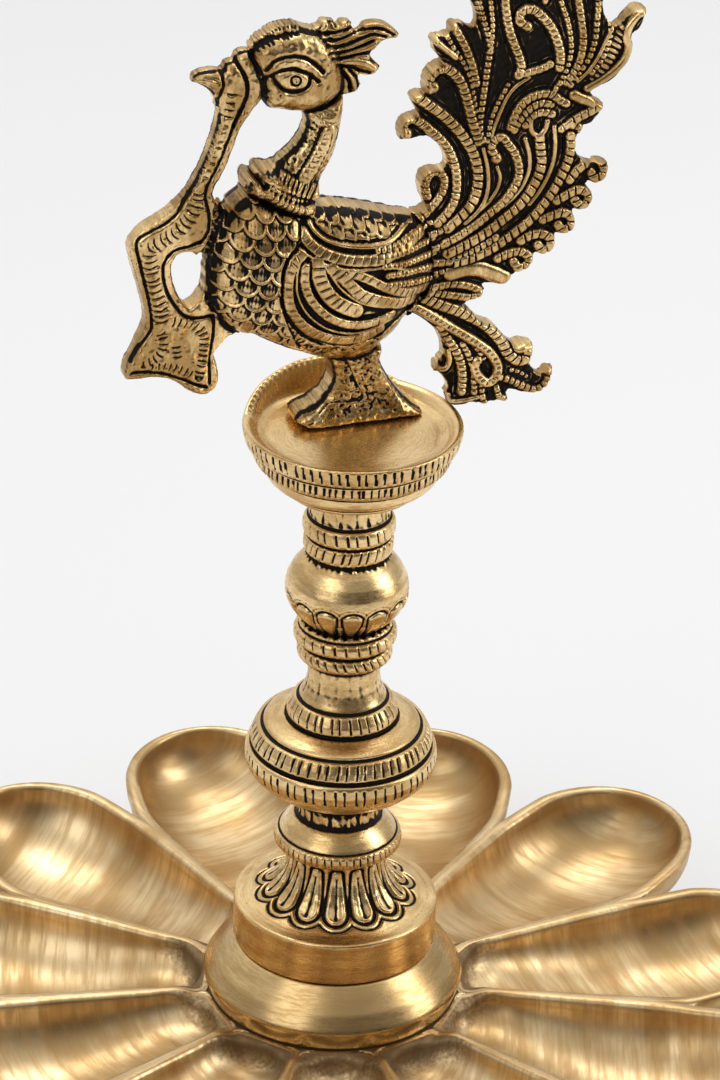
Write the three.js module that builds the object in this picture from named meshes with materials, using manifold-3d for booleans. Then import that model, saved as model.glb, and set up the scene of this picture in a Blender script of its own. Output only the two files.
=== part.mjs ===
// A brass oil lamp: an eleven-petal lotus dish on a turned foot, a turned and cast stem, a drip cup and a peacock.
// Millimetres, +Z up. The origin is on the stem's axis, on the surface that the foot stands on.
// X runs along the flat peacock casting, from its beak (-X) to its tail (+X), and a petal points along +Y.

import * as THREE from 'three';
import { mergeVertices } from 'three/addons/utils/BufferGeometryUtils.js';
import Module from 'manifold-3d';

const wasm = await Module();
wasm.setup();

// Driving dimensions

const seatGap = 0.3; // clearance between pieces that seat on or pass through each other
const roundSteps = 40; // facets round the large turned pieces
const boreSteps = 16; // facets round bores, rods and studs

const foot = {
  baseRadius: 52, edgeHeight: 4, waistRadius: 33, topRadius: 31.5, height: 24, wall: 3, webThickness: 4,
};

const dish = {
  petals: 11, hubRadius: 38, hubThickness: 9.7, domeSeatRadius: 36.5,
  ridgeRise: 2, notchRise: 3, tipRise: 7, // the rim's height above the hub's seat
  ridgeRun: 4, noseRun: 12, noseShare: 0.6, // how far the rim takes to climb, inside and past the notches
  innerEnd: 46.5, noseCentre: 100, // where a well's two round ends have their centres
  noseLength: 27, noseHalfWidth: 26.2, notchRadius: 95.2,
  ridgeWidth: 4.2, ridgeOverlap: 1.2, notchRimWidth: 3.8, tipRimWidth: 2.6,
  innerDepth: 9, wellDepth: 17, deepestAt: 88, wall: 2.5,
};

const dome = {
  height: 15.8, bottomRadius: 32.4, widestRadius: 34.2, widestHeight: 5.2, topRadius: 26.3, wall: 3, webThickness: 4,
};

const stem = {
  drumRadius: 26.6, drumHeight: 12.1, drumEdge: 0.8, drumWall: 3.2, drumRecess: 7,
  skirtRadius: 22.9, skirtEdge: 0.6, skirtNeckRadius: 12.2, skirtHeight: 13.2,
  lowBulbRadius: 16.7, lowBulbHeight: 11.8,
  waistRadius: 10.8, waistHeight: 4.5,
  bellyRadius: 24.9, bellyUnderHeight: 12.5, bellyShoulderHeight: 18.2, bellyShoulderRadius: 12,
  lowerBand: 2.2, upperBand: 5.8, // how far the shoulder's two bands step in from the belly
  throatRadius: 9.4, throatHeight: 11.9,
  collarRadius: 13.3, collarHeight: 10.2,
  bulbRadius: 15.9, bulbHeight: 18.6, bulbEndRadius: 10.8,
  neckRingRadius: 11.8, neckRingHeight: 11.1,
  neckRadius: 10.3, neckHeight: 6,
};

const cup = {
  height: 19.7, rimRadius: 27.8, rimBand: 4.4, beadRadius: 25, bowlRadius: 21, throatRadius: 10.5,
  rimLand: 2.9, floorDepth: 3, floorRadius: 23.6,
  lipHeight: 6, lipWidth: 44, lipThickness: 2.2, lipBearing: 128, // the raised part of the rim behind the bird
};

const bird = {
  offset: 10, castThickness: 7, crestThickness: 6, legDepth: 9,
  plateLength: 30.5, plateDepth: 11.4, plateThickness: 3.6, plateCentre: 2.2,
};

const strandHole = { along: -42, height: 42, halfWidth: 4.2, halfHeight: 6.4 }; // between strand and breast

const rod = { radius: 4, intoStem: 31, belowNut: 2.4 };
const washer = { radius: 9.5, thickness: 1.6 };
const nut = { acrossFlats: 13, thickness: 6.5 };
const cupStud = { radius: 3, intoStem: 14, intoCup: 8 };
const birdStud = { radius: 2.4, intoCup: 8, intoBird: 9, along: 2.5 };

// Heights that follow from the stack

const hubUnderside = foot.height + seatGap;
const hubSeat = hubUnderside + dish.hubThickness;
const domeBottom = hubSeat + seatGap;
const stemBottom = domeBottom + dome.height + seatGap;
const drumTop = stemBottom + stem.drumHeight;
const stemTop = drumTop + stem.skirtHeight + stem.lowBulbHeight + stem.waistHeight + stem.bellyUnderHeight
  + stem.bellyShoulderHeight + stem.throatHeight + stem.collarHeight + stem.bulbHeight
  + stem.neckRingHeight + stem.neckHeight;
const cupBottom = stemTop + seatGap;
const cupRim = cupBottom + cup.height;
const cupFloor = cupRim - cup.floorDepth;
const birdBase = cupFloor + seatGap;

// Solids from geometry, and meshes from solids

function solidOf(geometry) {
  const plain = geometry.clone();
  plain.deleteAttribute('normal');
  plain.deleteAttribute('uv');
  const merged = mergeVertices(plain, 1e-4);
  const corners = merged.index.array;
  const kept = [];
  for (let i = 0; i < corners.length; i += 3) {
    const [a, b, c] = [corners[i], corners[i + 1], corners[i + 2]];
    if (a !== b && b !== c && c !== a) kept.push(a, b, c);
  }
  const solid = new wasm.Manifold(new wasm.Mesh({
    numProp: 3,
    vertProperties: new Float32Array(merged.attributes.position.array),
    triVerts: new Uint32Array(kept),
  }));
  return solid;
}

function meshOf(name, solid, material) {
  const { vertProperties, triVerts } = solid.getMesh();
  const geometry = new THREE.BufferGeometry();
  geometry.setAttribute('position', new THREE.BufferAttribute(new Float32Array(vertProperties), 3));
  geometry.setIndex(new THREE.BufferAttribute(new Uint32Array(triVerts), 1));
  geometry.computeVertexNormals();
  const mesh = new THREE.Mesh(geometry, material);
  mesh.name = name;
  return mesh;
}

// Turns a profile of (radius, height) points that starts and ends on the axis
function turned(profile, steps = roundSteps) {
  return solidOf(new THREE.LatheGeometry(profile, steps).rotateX(Math.PI / 2));
}

function rodSolid(radius, low, high, x = 0, y = 0, steps = boreSteps) {
  const geometry = new THREE.CylinderGeometry(radius, radius, high - low, steps);
  return solidOf(geometry.rotateX(Math.PI / 2).translate(x, y, (low + high) / 2));
}

// A closed surface through rings of equal point counts. A last ring folded to a line needs no end face.
function loft(rings, folded = false) {
  const count = rings[0].length;
  const points = rings.flat();
  const faces = [];
  for (let k = 0; k + 1 < rings.length; k++) {
    for (let i = 0; i < count; i++) {
      const a = k * count + i;
      const b = k * count + (i + 1) % count;
      faces.push(a, b, b + count, a, b + count, a + count);
    }
  }
  const last = (rings.length - 1) * count;
  for (let i = 1; i + 1 < count; i++) {
    faces.push(0, i + 1, i);
    if (!folded) faces.push(last, last + i, last + i + 1);
  }
  const geometry = new THREE.BufferGeometry();
  geometry.setAttribute('position', new THREE.Float32BufferAttribute(points.flat(), 3));
  geometry.setIndex(faces);
  return solidOf(geometry);
}

const at = (radius, height) => new THREE.Vector2(radius, height);

// Draws a turned outline: straight steps and rounded bulges, each given by where it ends
class Outline {
  constructor(radius, height) {
    this.path = new THREE.Path();
    this.path.moveTo(radius, height);
  }
  to(radius, height) {
    this.path.lineTo(radius, height);
    return this;
  }
  bend(viaRadius, viaHeight, radius, height) {
    this.path.quadraticCurveTo(viaRadius, viaHeight, radius, height);
    return this;
  }
  points(steps = 3) {
    return this.path.getPoints(steps);
  }
}

// Foot: a hollow turned ring with a web that the nut clamps

function makeFoot() {
  const web = foot.height - foot.webThickness;
  const outside = new Outline(0, 0)
    .to(foot.baseRadius, 0)
    .to(foot.baseRadius, foot.edgeHeight)
    .bend(foot.waistRadius + foot.wall, foot.edgeHeight + foot.wall, foot.waistRadius, web)
    .to(foot.topRadius, foot.height)
    .to(0, foot.height);
  const inside = new Outline(0, -foot.wall)
    .to(foot.baseRadius - foot.wall, -foot.wall)
    .to(foot.baseRadius - foot.wall, foot.edgeHeight - foot.wall / 2)
    .bend(foot.waistRadius, foot.edgeHeight + foot.wall / 2, foot.waistRadius - foot.wall, web)
    .to(0, web);
  const bore = rodSolid(rod.radius + seatGap, -foot.wall, foot.height + foot.wall);
  return turned(outside.points(4)).subtract(turned(inside.points(4))).subtract(bore);
}

// Dish: petal hulls joined round the hub, trimmed to one rim surface, with a well scooped from each petal

const petalPitch = 2 * Math.PI / dish.petals;
const notchAlong = dish.notchRadius * Math.cos(petalPitch / 2);
const sectorHalfWidth = (along) => along * Math.tan(petalPitch / 2);

// The rim's height over the radius, shared by all petals
const rimProfile = [
  at(dish.domeSeatRadius, hubSeat),
  at(dish.domeSeatRadius + dish.ridgeRun, hubSeat + dish.ridgeRise),
  at(dish.notchRadius, hubSeat + dish.notchRise),
  at(dish.notchRadius + dish.noseRun, hubSeat + THREE.MathUtils.lerp(dish.notchRise, dish.tipRise, dish.noseShare)),
  at(dish.noseCentre + dish.noseLength, hubSeat + dish.tipRise),
];

function rimHeight(radius) {
  const first = rimProfile[0];
  if (radius <= first.x) return first.y;
  for (let i = 1; i < rimProfile.length; i++) {
    const [a, b] = [rimProfile[i - 1], rimProfile[i]];
    if (radius <= b.x) return THREE.MathUtils.lerp(a.y, b.y, (radius - a.x) / (b.x - a.x));
  }
  return rimProfile[rimProfile.length - 1].y;
}

// One petal's outline, as points that each know their place on the petal's centre line
function petalOutline(inner, notchHalf, noseHalf, noseLong, arcSteps, sideSteps, noseSteps) {
  const half = [];
  for (let i = 0; i < arcSteps; i++) {
    const angle = Math.PI * (1 - i / (2 * arcSteps));
    half.push([dish.innerEnd + inner * Math.cos(angle), inner * Math.sin(angle), dish.innerEnd]);
  }
  for (let i = 0; i < sideSteps; i++) {
    const along = THREE.MathUtils.lerp(dish.innerEnd, notchAlong, i / (sideSteps - 1));
    const share = (along - dish.innerEnd) / (notchAlong - dish.innerEnd);
    half.push([along, THREE.MathUtils.lerp(inner, notchHalf, share), along]);
  }
  for (let i = 0; i < noseSteps; i++) {
    const angle = Math.PI / 2 * (1 - i / noseSteps);
    half.push([dish.noseCentre + noseLong * Math.cos(angle), noseHalf * Math.sin(angle), dish.noseCentre]);
  }
  const tip = [dish.noseCentre + noseLong, 0, dish.noseCentre];
  const mirrored = half.slice(1).reverse().map(([u, v, spine]) => [u, -v, spine]);
  return [...half, tip, ...mirrored];
}

function wellDepthAt(along) {
  const share = THREE.MathUtils.clamp((along - dish.innerEnd) / (dish.deepestAt - dish.innerEnd), 0, 1);
  return THREE.MathUtils.lerp(dish.innerDepth, dish.wellDepth, Math.sin(share * Math.PI / 2));
}

// A boat-shaped solid: its section narrows from the outline to the centre line as it goes down
function boat(outline, extraDepth, levels, above) {
  const ring = (share, lift) => outline.map(([u, v, spine]) => {
    const x = THREE.MathUtils.lerp(spine, u, share);
    const y = v * share;
    if (lift !== null) return [x, y, lift];
    const fall = Math.sqrt(1 - share ** 2.4) * (wellDepthAt(spine) + extraDepth);
    return [x, y, rimHeight(Math.hypot(x, y)) - fall];
  });
  return loft([ring(1, hubSeat + above), ...levels.map((share) => ring(share, null))], true);
}

function makeDish() {
  const hullOutline = petalOutline(
    sectorHalfWidth(dish.innerEnd) + dish.ridgeOverlap, sectorHalfWidth(notchAlong) + seatGap,
    dish.noseHalfWidth, dish.noseLength, 2, 3, 5);
  const wellOutline = petalOutline(
    sectorHalfWidth(dish.innerEnd) - dish.ridgeWidth / 2, sectorHalfWidth(notchAlong) - dish.notchRimWidth,
    dish.noseHalfWidth - dish.notchRimWidth, dish.noseLength - dish.tipRimWidth, 3, 3, 5);
  const hull = boat(hullOutline, dish.wall, [1, 0.86, 0.5, 0], dish.tipRise * 2);
  const well = boat(wellOutline, 0, [1, 0.93, 0.75, 0.42, 0], dish.tipRise * 3);
  const outer = dish.noseCentre + dish.noseLength;
  const below = turned([at(0, 0), at(outer + dish.wall, 0), at(outer + dish.wall, hubSeat + dish.tipRise),
    ...[...rimProfile].reverse(), at(0, hubSeat)], 4 * dish.petals);
  let body = turned([at(0, hubUnderside), at(dish.hubRadius, hubUnderside),
    at(dish.hubRadius + dish.ridgeRise, hubSeat + dish.ridgeRise), at(0, hubSeat + dish.ridgeRise)], 4 * dish.petals);
  for (let i = 0; i < dish.petals; i++) {
    body = body.add(hull.rotate([0, 0, 90 + THREE.MathUtils.radToDeg(i * petalPitch)]));
  }
  body = body.intersect(below);
  for (let i = 0; i < dish.petals; i++) {
    body = body.subtract(well.rotate([0, 0, 90 + THREE.MathUtils.radToDeg(i * petalPitch)]));
  }
  return body.subtract(rodSolid(rod.radius + seatGap, 0, hubSeat + dish.wall));
}

// Hub dome: a hollow turned shell with a web at its top

function makeDome() {
  const top = domeBottom + dome.height;
  const web = top - dome.webThickness;
  const widest = domeBottom + dome.widestHeight;
  const outside = new Outline(0, domeBottom)
    .to(dome.bottomRadius, domeBottom)
    .to(dome.widestRadius, widest - 0.4)
    .to(dome.widestRadius, widest + 0.4)
    .bend(dome.widestRadius - 1.6, widest + 4.6, dome.topRadius, top)
    .to(0, top);
  const inside = new Outline(0, domeBottom - dome.wall)
    .to(dome.bottomRadius - dome.wall, domeBottom - dome.wall)
    .to(dome.bottomRadius - dome.wall, domeBottom)
    .to(dome.widestRadius - dome.wall, widest)
    .to(dome.topRadius - dome.wall, web)
    .to(0, web);
  const bore = rodSolid(rod.radius + seatGap, domeBottom, top + dome.wall);
  return turned(outside.points(4)).subtract(turned(inside.points())).subtract(bore);
}

// Stem: each feature starts where the one below it ends

function makeStem() {
  const s = stem;
  let z = drumTop;
  const outline = new Outline(0, stemBottom)
    .to(s.drumRadius - s.drumEdge / 2, stemBottom)
    .to(s.drumRadius, stemBottom + s.drumEdge)
    .to(s.drumRadius, z - s.drumEdge)
    .to(s.drumRadius - s.drumEdge, z)
    .to(s.skirtRadius, z)
    .to(s.skirtRadius - s.skirtEdge, z + s.skirtEdge)
    .bend(s.skirtNeckRadius + 1.5, z + s.skirtHeight * 0.22, s.skirtNeckRadius, z + s.skirtHeight);
  z += s.skirtHeight;
  outline.to(s.lowBulbRadius - 1.6, z + s.lowBulbHeight * 0.18)
    .bend(s.lowBulbRadius + 0.9, z + s.lowBulbHeight * 0.42, s.lowBulbRadius - 1.2, z + s.lowBulbHeight * 0.62)
    .to(s.waistRadius, z + s.lowBulbHeight);
  z += s.lowBulbHeight;
  outline.to(s.waistRadius, z + s.waistHeight);
  z += s.waistHeight;
  outline.to(s.bellyRadius - 4.6, z + s.bellyUnderHeight * 0.46)
    .to(s.bellyRadius - 0.8, z + s.bellyUnderHeight * 0.76);
  z += s.bellyUnderHeight;
  const shoulder = (share) => z + s.bellyShoulderHeight * share;
  outline.to(s.bellyRadius, z)
    .to(s.bellyRadius - s.lowerBand, shoulder(0.22))
    .to(s.bellyRadius - s.upperBand, shoulder(0.46))
    .to(s.bellyShoulderRadius + 2.7, shoulder(0.7))
    .to(s.bellyShoulderRadius, shoulder(1));
  z += s.bellyShoulderHeight;
  outline.bend(s.throatRadius, z + s.throatHeight * 0.25, s.throatRadius, z + s.throatHeight * 0.4)
    .to(s.throatRadius, z + s.throatHeight);
  z += s.throatHeight;
  outline.to(s.collarRadius - 1.1, z + s.collarHeight * 0.08)
    .to(s.collarRadius - 1.1, z + s.collarHeight * 0.32)
    .to(s.collarRadius - 1.9, z + s.collarHeight * 0.42)
    .to(s.collarRadius, z + s.collarHeight * 0.54)
    .to(s.collarRadius - 0.3, z + s.collarHeight * 0.86)
    .to(s.bulbEndRadius, z + s.collarHeight);
  z += s.collarHeight;
  outline.bend(s.bulbRadius - 1.2, z + s.bulbHeight * 0.16, s.bulbRadius, z + s.bulbHeight * 0.48)
    .bend(s.bulbRadius - 0.6, z + s.bulbHeight * 0.86, s.bulbEndRadius, z + s.bulbHeight);
  z += s.bulbHeight;
  outline.to(s.neckRingRadius, z + s.neckRingHeight * 0.16)
    .to(s.neckRingRadius, z + s.neckRingHeight * 0.46)
    .to(s.neckRingRadius - 0.9, z + s.neckRingHeight * 0.52)
    .to(s.neckRingRadius, z + s.neckRingHeight * 0.6)
    .to(s.neckRingRadius, z + s.neckRingHeight * 0.9)
    .to(s.neckRadius, z + s.neckRingHeight)
    .to(s.neckRadius, stemTop)
    .to(0, stemTop);
  const boss = rod.radius + s.drumWall + seatGap;
  const recess = turned([at(boss, stemBottom - s.drumWall), at(s.drumRadius - s.drumWall, stemBottom - s.drumWall),
    at(s.drumRadius - s.drumWall, stemBottom + s.drumRecess), at(boss, stemBottom + s.drumRecess),
    at(boss, stemBottom - s.drumWall)], 32);
  return turned(outline.points(3), 30)
    .subtract(recess)
    .subtract(rodSolid(rod.radius + seatGap, stemBottom - seatGap, stemBottom + rod.intoStem + seatGap))
    .subtract(rodSolid(cupStud.radius + seatGap, stemTop - cupStud.intoStem - seatGap, stemTop + seatGap));
}

// Drip cup: a shallow bowl with a ringed rim, and a low lip on the rim behind the bird

function makeCup() {
  const bandBottom = cupRim - cup.rimBand;
  const outline = new Outline(0, cupBottom)
    .to(cup.throatRadius, cupBottom)
    .bend(cup.bowlRadius - 4, cupBottom + 2.2, cup.bowlRadius - 1, cupBottom + cup.height * 0.3)
    .to(cup.bowlRadius, cupBottom + cup.height * 0.38)
    .to(cup.beadRadius, bandBottom - 3)
    .to(cup.beadRadius + 0.2, bandBottom - 0.6)
    .to(cup.rimRadius - 0.9, bandBottom)
    .to(cup.rimRadius, cupRim - 0.4)
    .to(cup.rimRadius - 0.4, cupRim)
    .to(cup.rimRadius - cup.rimLand, cupRim)
    .to(cup.floorRadius, cupFloor)
    .to(0, cupFloor);
  const ring = turned([at(cup.rimRadius - cup.lipThickness - 0.2, cupRim - 1), at(cup.rimRadius - 0.2, cupRim - 1),
    at(cup.rimRadius - 0.2, cupRim + cup.lipHeight + 1),
    at(cup.rimRadius - cup.lipThickness - 0.2, cupRim + cup.lipHeight + 1),
    at(cup.rimRadius - cup.lipThickness - 0.2, cupRim - 1)]);
  const arch = new THREE.Shape();
  arch.moveTo(-cup.lipWidth / 2, -1);
  arch.lineTo(cup.lipWidth / 2, -1);
  arch.quadraticCurveTo(cup.lipWidth * 0.3, cup.lipHeight * 1.05, 0, cup.lipHeight);
  arch.quadraticCurveTo(-cup.lipWidth * 0.3, cup.lipHeight * 0.95, -cup.lipWidth / 2, -1);
  const hump = solidOf(new THREE.ExtrudeGeometry(arch, { depth: cup.rimRadius, bevelEnabled: false, curveSegments: 5 })
    .rotateX(Math.PI / 2).rotateZ(Math.PI / 2 + THREE.MathUtils.degToRad(cup.lipBearing))
    .translate(0, 0, cupRim));
  return turned(outline.points(3))
    .add(ring.intersect(hump))
    .subtract(rodSolid(cupStud.radius + seatGap, cupBottom - seatGap, cupBottom + cupStud.intoCup + seatGap))
    .subtract(rodSolid(birdStud.radius + seatGap, cupFloor - birdStud.intoCup - seatGap, cupFloor + seatGap,
      birdStud.along, bird.offset));
}

// Peacock: flat castings cut from outlines in the X-Z plane, and rounded body parts lofted along their middles.
// Its points are (along X, height above the cup's rim).

function plate(outline, thickness, hole = null) {
  const shape = new THREE.Shape(outline);
  if (hole) shape.holes.push(hole);
  const geometry = new THREE.ExtrudeGeometry(shape, { depth: thickness, bevelEnabled: false, curveSegments: 8 });
  return solidOf(geometry.rotateX(Math.PI / 2).translate(0, bird.offset + thickness / 2, cupRim));
}

// A closed flowing line through the corners, with points at them and halfway between them
function smoothOutline(corners) {
  const curve = new THREE.CatmullRomCurve3(corners.map(([x, z]) => new THREE.Vector3(x, z, 0)), true, 'centripetal');
  return curve.getPoints(2 * corners.length).slice(0, -1).map((p) => at(p.x, p.y));
}

// A lobe: a round end and the tapering root that joins it to the casting
function lobe([tipX, tipZ], radius, [rootX, rootZ], thickness) {
  const heading = Math.atan2(tipZ - rootZ, tipX - rootX);
  const corners = [];
  for (let i = 0; i <= 5; i++) {
    const angle = heading - Math.PI * 0.55 + Math.PI * 1.1 * i / 5;
    corners.push(at(tipX + radius * Math.cos(angle), tipZ + radius * Math.sin(angle)));
  }
  const side = radius * 0.8;
  corners.push(at(rootX - side * Math.sin(heading), rootZ + side * Math.cos(heading)));
  corners.push(at(rootX + side * Math.sin(heading), rootZ - side * Math.cos(heading)));
  return plate(corners, thickness);
}

// Rounded limb: oval sections square to the middle line. Each station is [x, z, half height, half thickness].
function limb(stations, sides = 12) {
  const rings = stations.map(([x, z, high, wide], i) => {
    const before = stations[Math.max(i - 1, 0)];
    const after = stations[Math.min(i + 1, stations.length - 1)];
    const heading = Math.atan2(after[1] - before[1], after[0] - before[0]);
    return Array.from({ length: sides }, (_, k) => {
      const angle = 2 * Math.PI * k / sides;
      const across = high * Math.cos(angle);
      return [x - across * Math.sin(heading), bird.offset - wide * Math.sin(angle),
        cupRim + z + across * Math.cos(heading)];
    });
  });
  return loft(rings);
}

const tailOutline = [
  [24, 36], [18, 51.5], [21, 57], [24.6, 63], [24.8, 69.5], [18.5, 73], [16.5, 79], [20, 84], [21.5, 91], [24.5, 97],
  [29.5, 103], [31, 112], [35, 122], [40, 131], [48, 137], [56, 131], [62, 121], [65.2, 110], [65.8, 99.5],
  [71.5, 93], [71, 87.5], [66, 81.5], [60.5, 78], [59, 70], [59.2, 63], [58, 56.5], [54.5, 48.5], [49.5, 41],
  [42, 34], [34, 28.5], [25, 25],
];
const tailLobes = [
  [[21.4, 59.6], 3.3, [27, 56]], [[15.2, 74.6], 2.9, [24, 72]], [[16.8, 82.4], 1.2, [24, 77]],
  [[21.6, 87.8], 3.1, [27, 84]], [[21.6, 97], 1.4, [29, 92]], [[26, 100.4], 1.1, [31, 95]], [[30.4, 110], 2.2, [35, 106]],
  [[35, 121], 2.4, [40, 117]], [[72, 98], 2.7, [66, 91]], [[62.4, 75.8], 3.2, [55, 73]], [[63.8, 58], 3.3, [56, 57]],
  [[60.4, 51], 3.3, [52, 49]], [[56.8, 45], 3.3, [48, 45]], [[51.2, 40.2], 3.2, [43, 42]],
  [[45.6, 36], 3, [38, 40]], [[40.6, 32.4], 2.8, [33, 37]], [[34, 28.6], 2.4, [27, 33]],
];
const plumeOutline = [
  [13, 29], [20, 24], [24.4, 18], [25.4, 12], [25, 6], [27.4, 2], [32, 0.7], [38, 1.5], [45, 4.5],
  [46.5, 9], [41, 15.6], [35.8, 19.8], [31, 24.6], [25, 31],
];
const plumeLobes = [
  [[25.8, 9], 2.4, [31, 13]], [[41.4, -0.4], 2.7, [38, 6]], [[51.8, 2.8], 2.7, [43, 7]], [[46, 11.4], 3.5, [40, 14.5]],
];
const strandOutline = [
  [-34.4, 92], [-34.8, 82], [-37.3, 72.4], [-41.9, 64.2], [-52.4, 55], [-55.6, 51.4], [-55.2, 46.6], [-51.8, 34.6],
  [-56.2, 19.6], [-55.8, 16.2], [-45, 14.2], [-38, 9.8], [-34.4, 10.2], [-33.8, 17], [-33.4, 21], [-26, 27],
  [-24, 40], [-27, 56], [-32.6, 61], [-33, 67], [-30.2, 74], [-27.8, 80.5], [-20, 85], [-20, 94], [-27, 97],
];
const crestLobes = [
  [[-8.4, 104], 2, [-9, 98]], [[-3.6, 103.4], 2, [-6, 96]], [[4, 99.4], 3.8, [-5, 97]], [[9.6, 100], 1.8, [0, 98]],
  [[5.8, 92], 1.8, [-6, 92]], [[0.8, 87.4], 1.9, [-6, 89]],
];
const bodyStations = [
  [-36.4, 39.5, 3, 2.5], [-34, 40.5, 9.5, 7], [-25, 42, 16.5, 11.5], [-10, 38, 20, 13.5], [4, 35.4, 18.8, 12.5],
  [15, 37.4, 14.6, 9.5], [26, 41.5, 9.5, 6], [33, 45, 5.5, 3.6],
];
const neckStations = [
  [-20.5, 54, 12, 9.6], [-17.6, 61, 9.6, 8], [-14, 66, 6.4, 6], [-10.3, 73, 5, 5.4], [-8, 82, 5.2, 5.6],
  [-8.6, 89, 5, 5],
];
const lowerCollar = [[-19.3, 57.5, 10.6, 8.2], [-18.6, 58.9, 11.8, 9.3], [-17.9, 60.3, 10.6, 8.2]];
const upperCollar = [[-17.1, 61.5, 9.4, 7.8], [-16.4, 62.9, 10.6, 8.9], [-15.7, 64.3, 9.4, 7.8]];
const headStations = [
  [-1.6, 90, 3.5, 3], [-5, 93, 9.4, 6.4], [-13, 93.2, 12, 7.6], [-21.5, 93.6, 10.9, 7], [-27, 93.4, 7, 5.4],
  [-31, 92.6, 4.5, 4.2], [-34.5, 92.9, 3, 3], [-38, 94, 1.9, 2], [-41, 94.5, 0.7, 0.7],
];
const legStations = [
  [3, 22, 8.5, 7.5], [2.6, 14, 6.6, 6], [3, 8, 8, bird.legDepth / 2], [2.2, 2.4, 13.4, bird.plateDepth / 2],
  [2.2, 0.2, 14.6, bird.plateDepth / 2],
];

function makeBird() {
  const hole = new THREE.Path();
  const { along, height, halfWidth, halfHeight } = strandHole;
  hole.absellipse(along, height, halfWidth, halfHeight, 0, 2 * Math.PI, true);
  let casting = plate(smoothOutline(tailOutline), bird.castThickness)
    .add(plate(smoothOutline(plumeOutline), bird.castThickness))
    .add(plate(smoothOutline(strandOutline), bird.castThickness, hole));
  for (const [tip, radius, root] of [...tailLobes, ...plumeLobes]) {
    casting = casting.add(lobe(tip, radius, root, bird.castThickness));
  }
  for (const [tip, radius, root] of crestLobes) casting = casting.add(lobe(tip, radius, root, bird.crestThickness));
  for (const stations of [bodyStations, neckStations, lowerCollar, upperCollar, headStations, legStations]) {
    casting = casting.add(limb(stations));
  }
  const base = new THREE.BoxGeometry(bird.plateLength, bird.plateDepth, bird.plateThickness)
    .translate(bird.plateCentre, bird.offset, birdBase + bird.plateThickness / 2);
  return casting.add(solidOf(base))
    .subtract(rodSolid(birdStud.radius + seatGap, birdBase - seatGap, birdBase + birdStud.intoBird + seatGap,
      birdStud.along, bird.offset));
}

// Fasteners

function makeTieRod() {
  const low = foot.height - foot.webThickness - seatGap - washer.thickness - seatGap - nut.thickness - rod.belowNut;
  return rodSolid(rod.radius, low, stemBottom + rod.intoStem);
}

function makeWasher() {
  const top = foot.height - foot.webThickness - seatGap;
  return rodSolid(washer.radius, top - washer.thickness, top, 0, 0, 24)
    .subtract(rodSolid(rod.radius + seatGap, 0, top + 1));
}

function makeNut() {
  const top = foot.height - foot.webThickness - seatGap - washer.thickness - seatGap;
  return rodSolid(nut.acrossFlats / Math.sqrt(3), top - nut.thickness, top, 0, 0, 6)
    .subtract(rodSolid(rod.radius + seatGap, 0, top + 1));
}

function makeCupStud() {
  return rodSolid(cupStud.radius, stemTop - cupStud.intoStem, cupBottom + cupStud.intoCup);
}

function makeBirdStud() {
  return rodSolid(birdStud.radius, cupFloor - birdStud.intoCup, birdBase + birdStud.intoBird,
    birdStud.along, bird.offset);
}

// Finishes

const brass = (color, roughness) => new THREE.MeshStandardMaterial({ color, roughness, metalness: 1 });
const satinBrass = brass(0xc9a878, 0.32);
const polishedBrass = brass(0xb5853f, 0.22);
const antiqueBrass = brass(0x8f6c36, 0.42);
const rodBrass = brass(0xb08d4c, 0.4);

const lamp = new THREE.Group();
lamp.add(
  meshOf('foot', makeFoot(), polishedBrass),
  meshOf('lotus_dish', makeDish(), satinBrass),
  meshOf('hub_dome', makeDome(), polishedBrass),
  meshOf('stem', makeStem(), antiqueBrass),
  meshOf('drip_cup', makeCup(), antiqueBrass),
  meshOf('bird', makeBird(), antiqueBrass),
  meshOf('tie_rod', makeTieRod(), rodBrass),
  meshOf('washer', makeWasher(), rodBrass),
  meshOf('nut', makeNut(), rodBrass),
  meshOf('cup_stud', makeCupStud(), rodBrass),
  meshOf('bird_stud', makeBirdStud(), rodBrass),
);

export default lamp;
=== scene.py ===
import math

import bmesh
import bpy
import numpy as np
from mathutils import Matrix, Vector


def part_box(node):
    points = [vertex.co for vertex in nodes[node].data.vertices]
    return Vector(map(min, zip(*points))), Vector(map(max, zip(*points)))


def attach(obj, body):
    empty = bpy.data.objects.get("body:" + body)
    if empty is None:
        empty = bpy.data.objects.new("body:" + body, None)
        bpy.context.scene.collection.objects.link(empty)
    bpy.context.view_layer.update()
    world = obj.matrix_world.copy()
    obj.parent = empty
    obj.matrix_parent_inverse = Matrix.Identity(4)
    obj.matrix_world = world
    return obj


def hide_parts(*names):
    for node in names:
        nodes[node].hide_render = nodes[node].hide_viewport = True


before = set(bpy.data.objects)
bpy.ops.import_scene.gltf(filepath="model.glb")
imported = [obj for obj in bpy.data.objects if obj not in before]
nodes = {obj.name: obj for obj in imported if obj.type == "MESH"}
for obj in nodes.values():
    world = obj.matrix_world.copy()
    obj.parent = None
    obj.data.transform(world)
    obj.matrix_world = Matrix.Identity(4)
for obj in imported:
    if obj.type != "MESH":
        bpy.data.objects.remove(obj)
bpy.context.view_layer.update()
mm = 0.001
turn = 2 * math.pi
print("frame loaded:", sorted(nodes))

# Camera: the photograph's view. A long lens from about 1.3 m, turned a little to the lamp's left.
# Angles in degrees, places and the lens in mm, the picture in pixels.
camera = {
    "azimuth": -19.95, "elevation": 28.26, "roll": 2.25, "aside": 2.86, "height": 167.3, "away": 1271,
    "lens": 167.8, "sensor": 36, "picture": (720, 1080),
}


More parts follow.
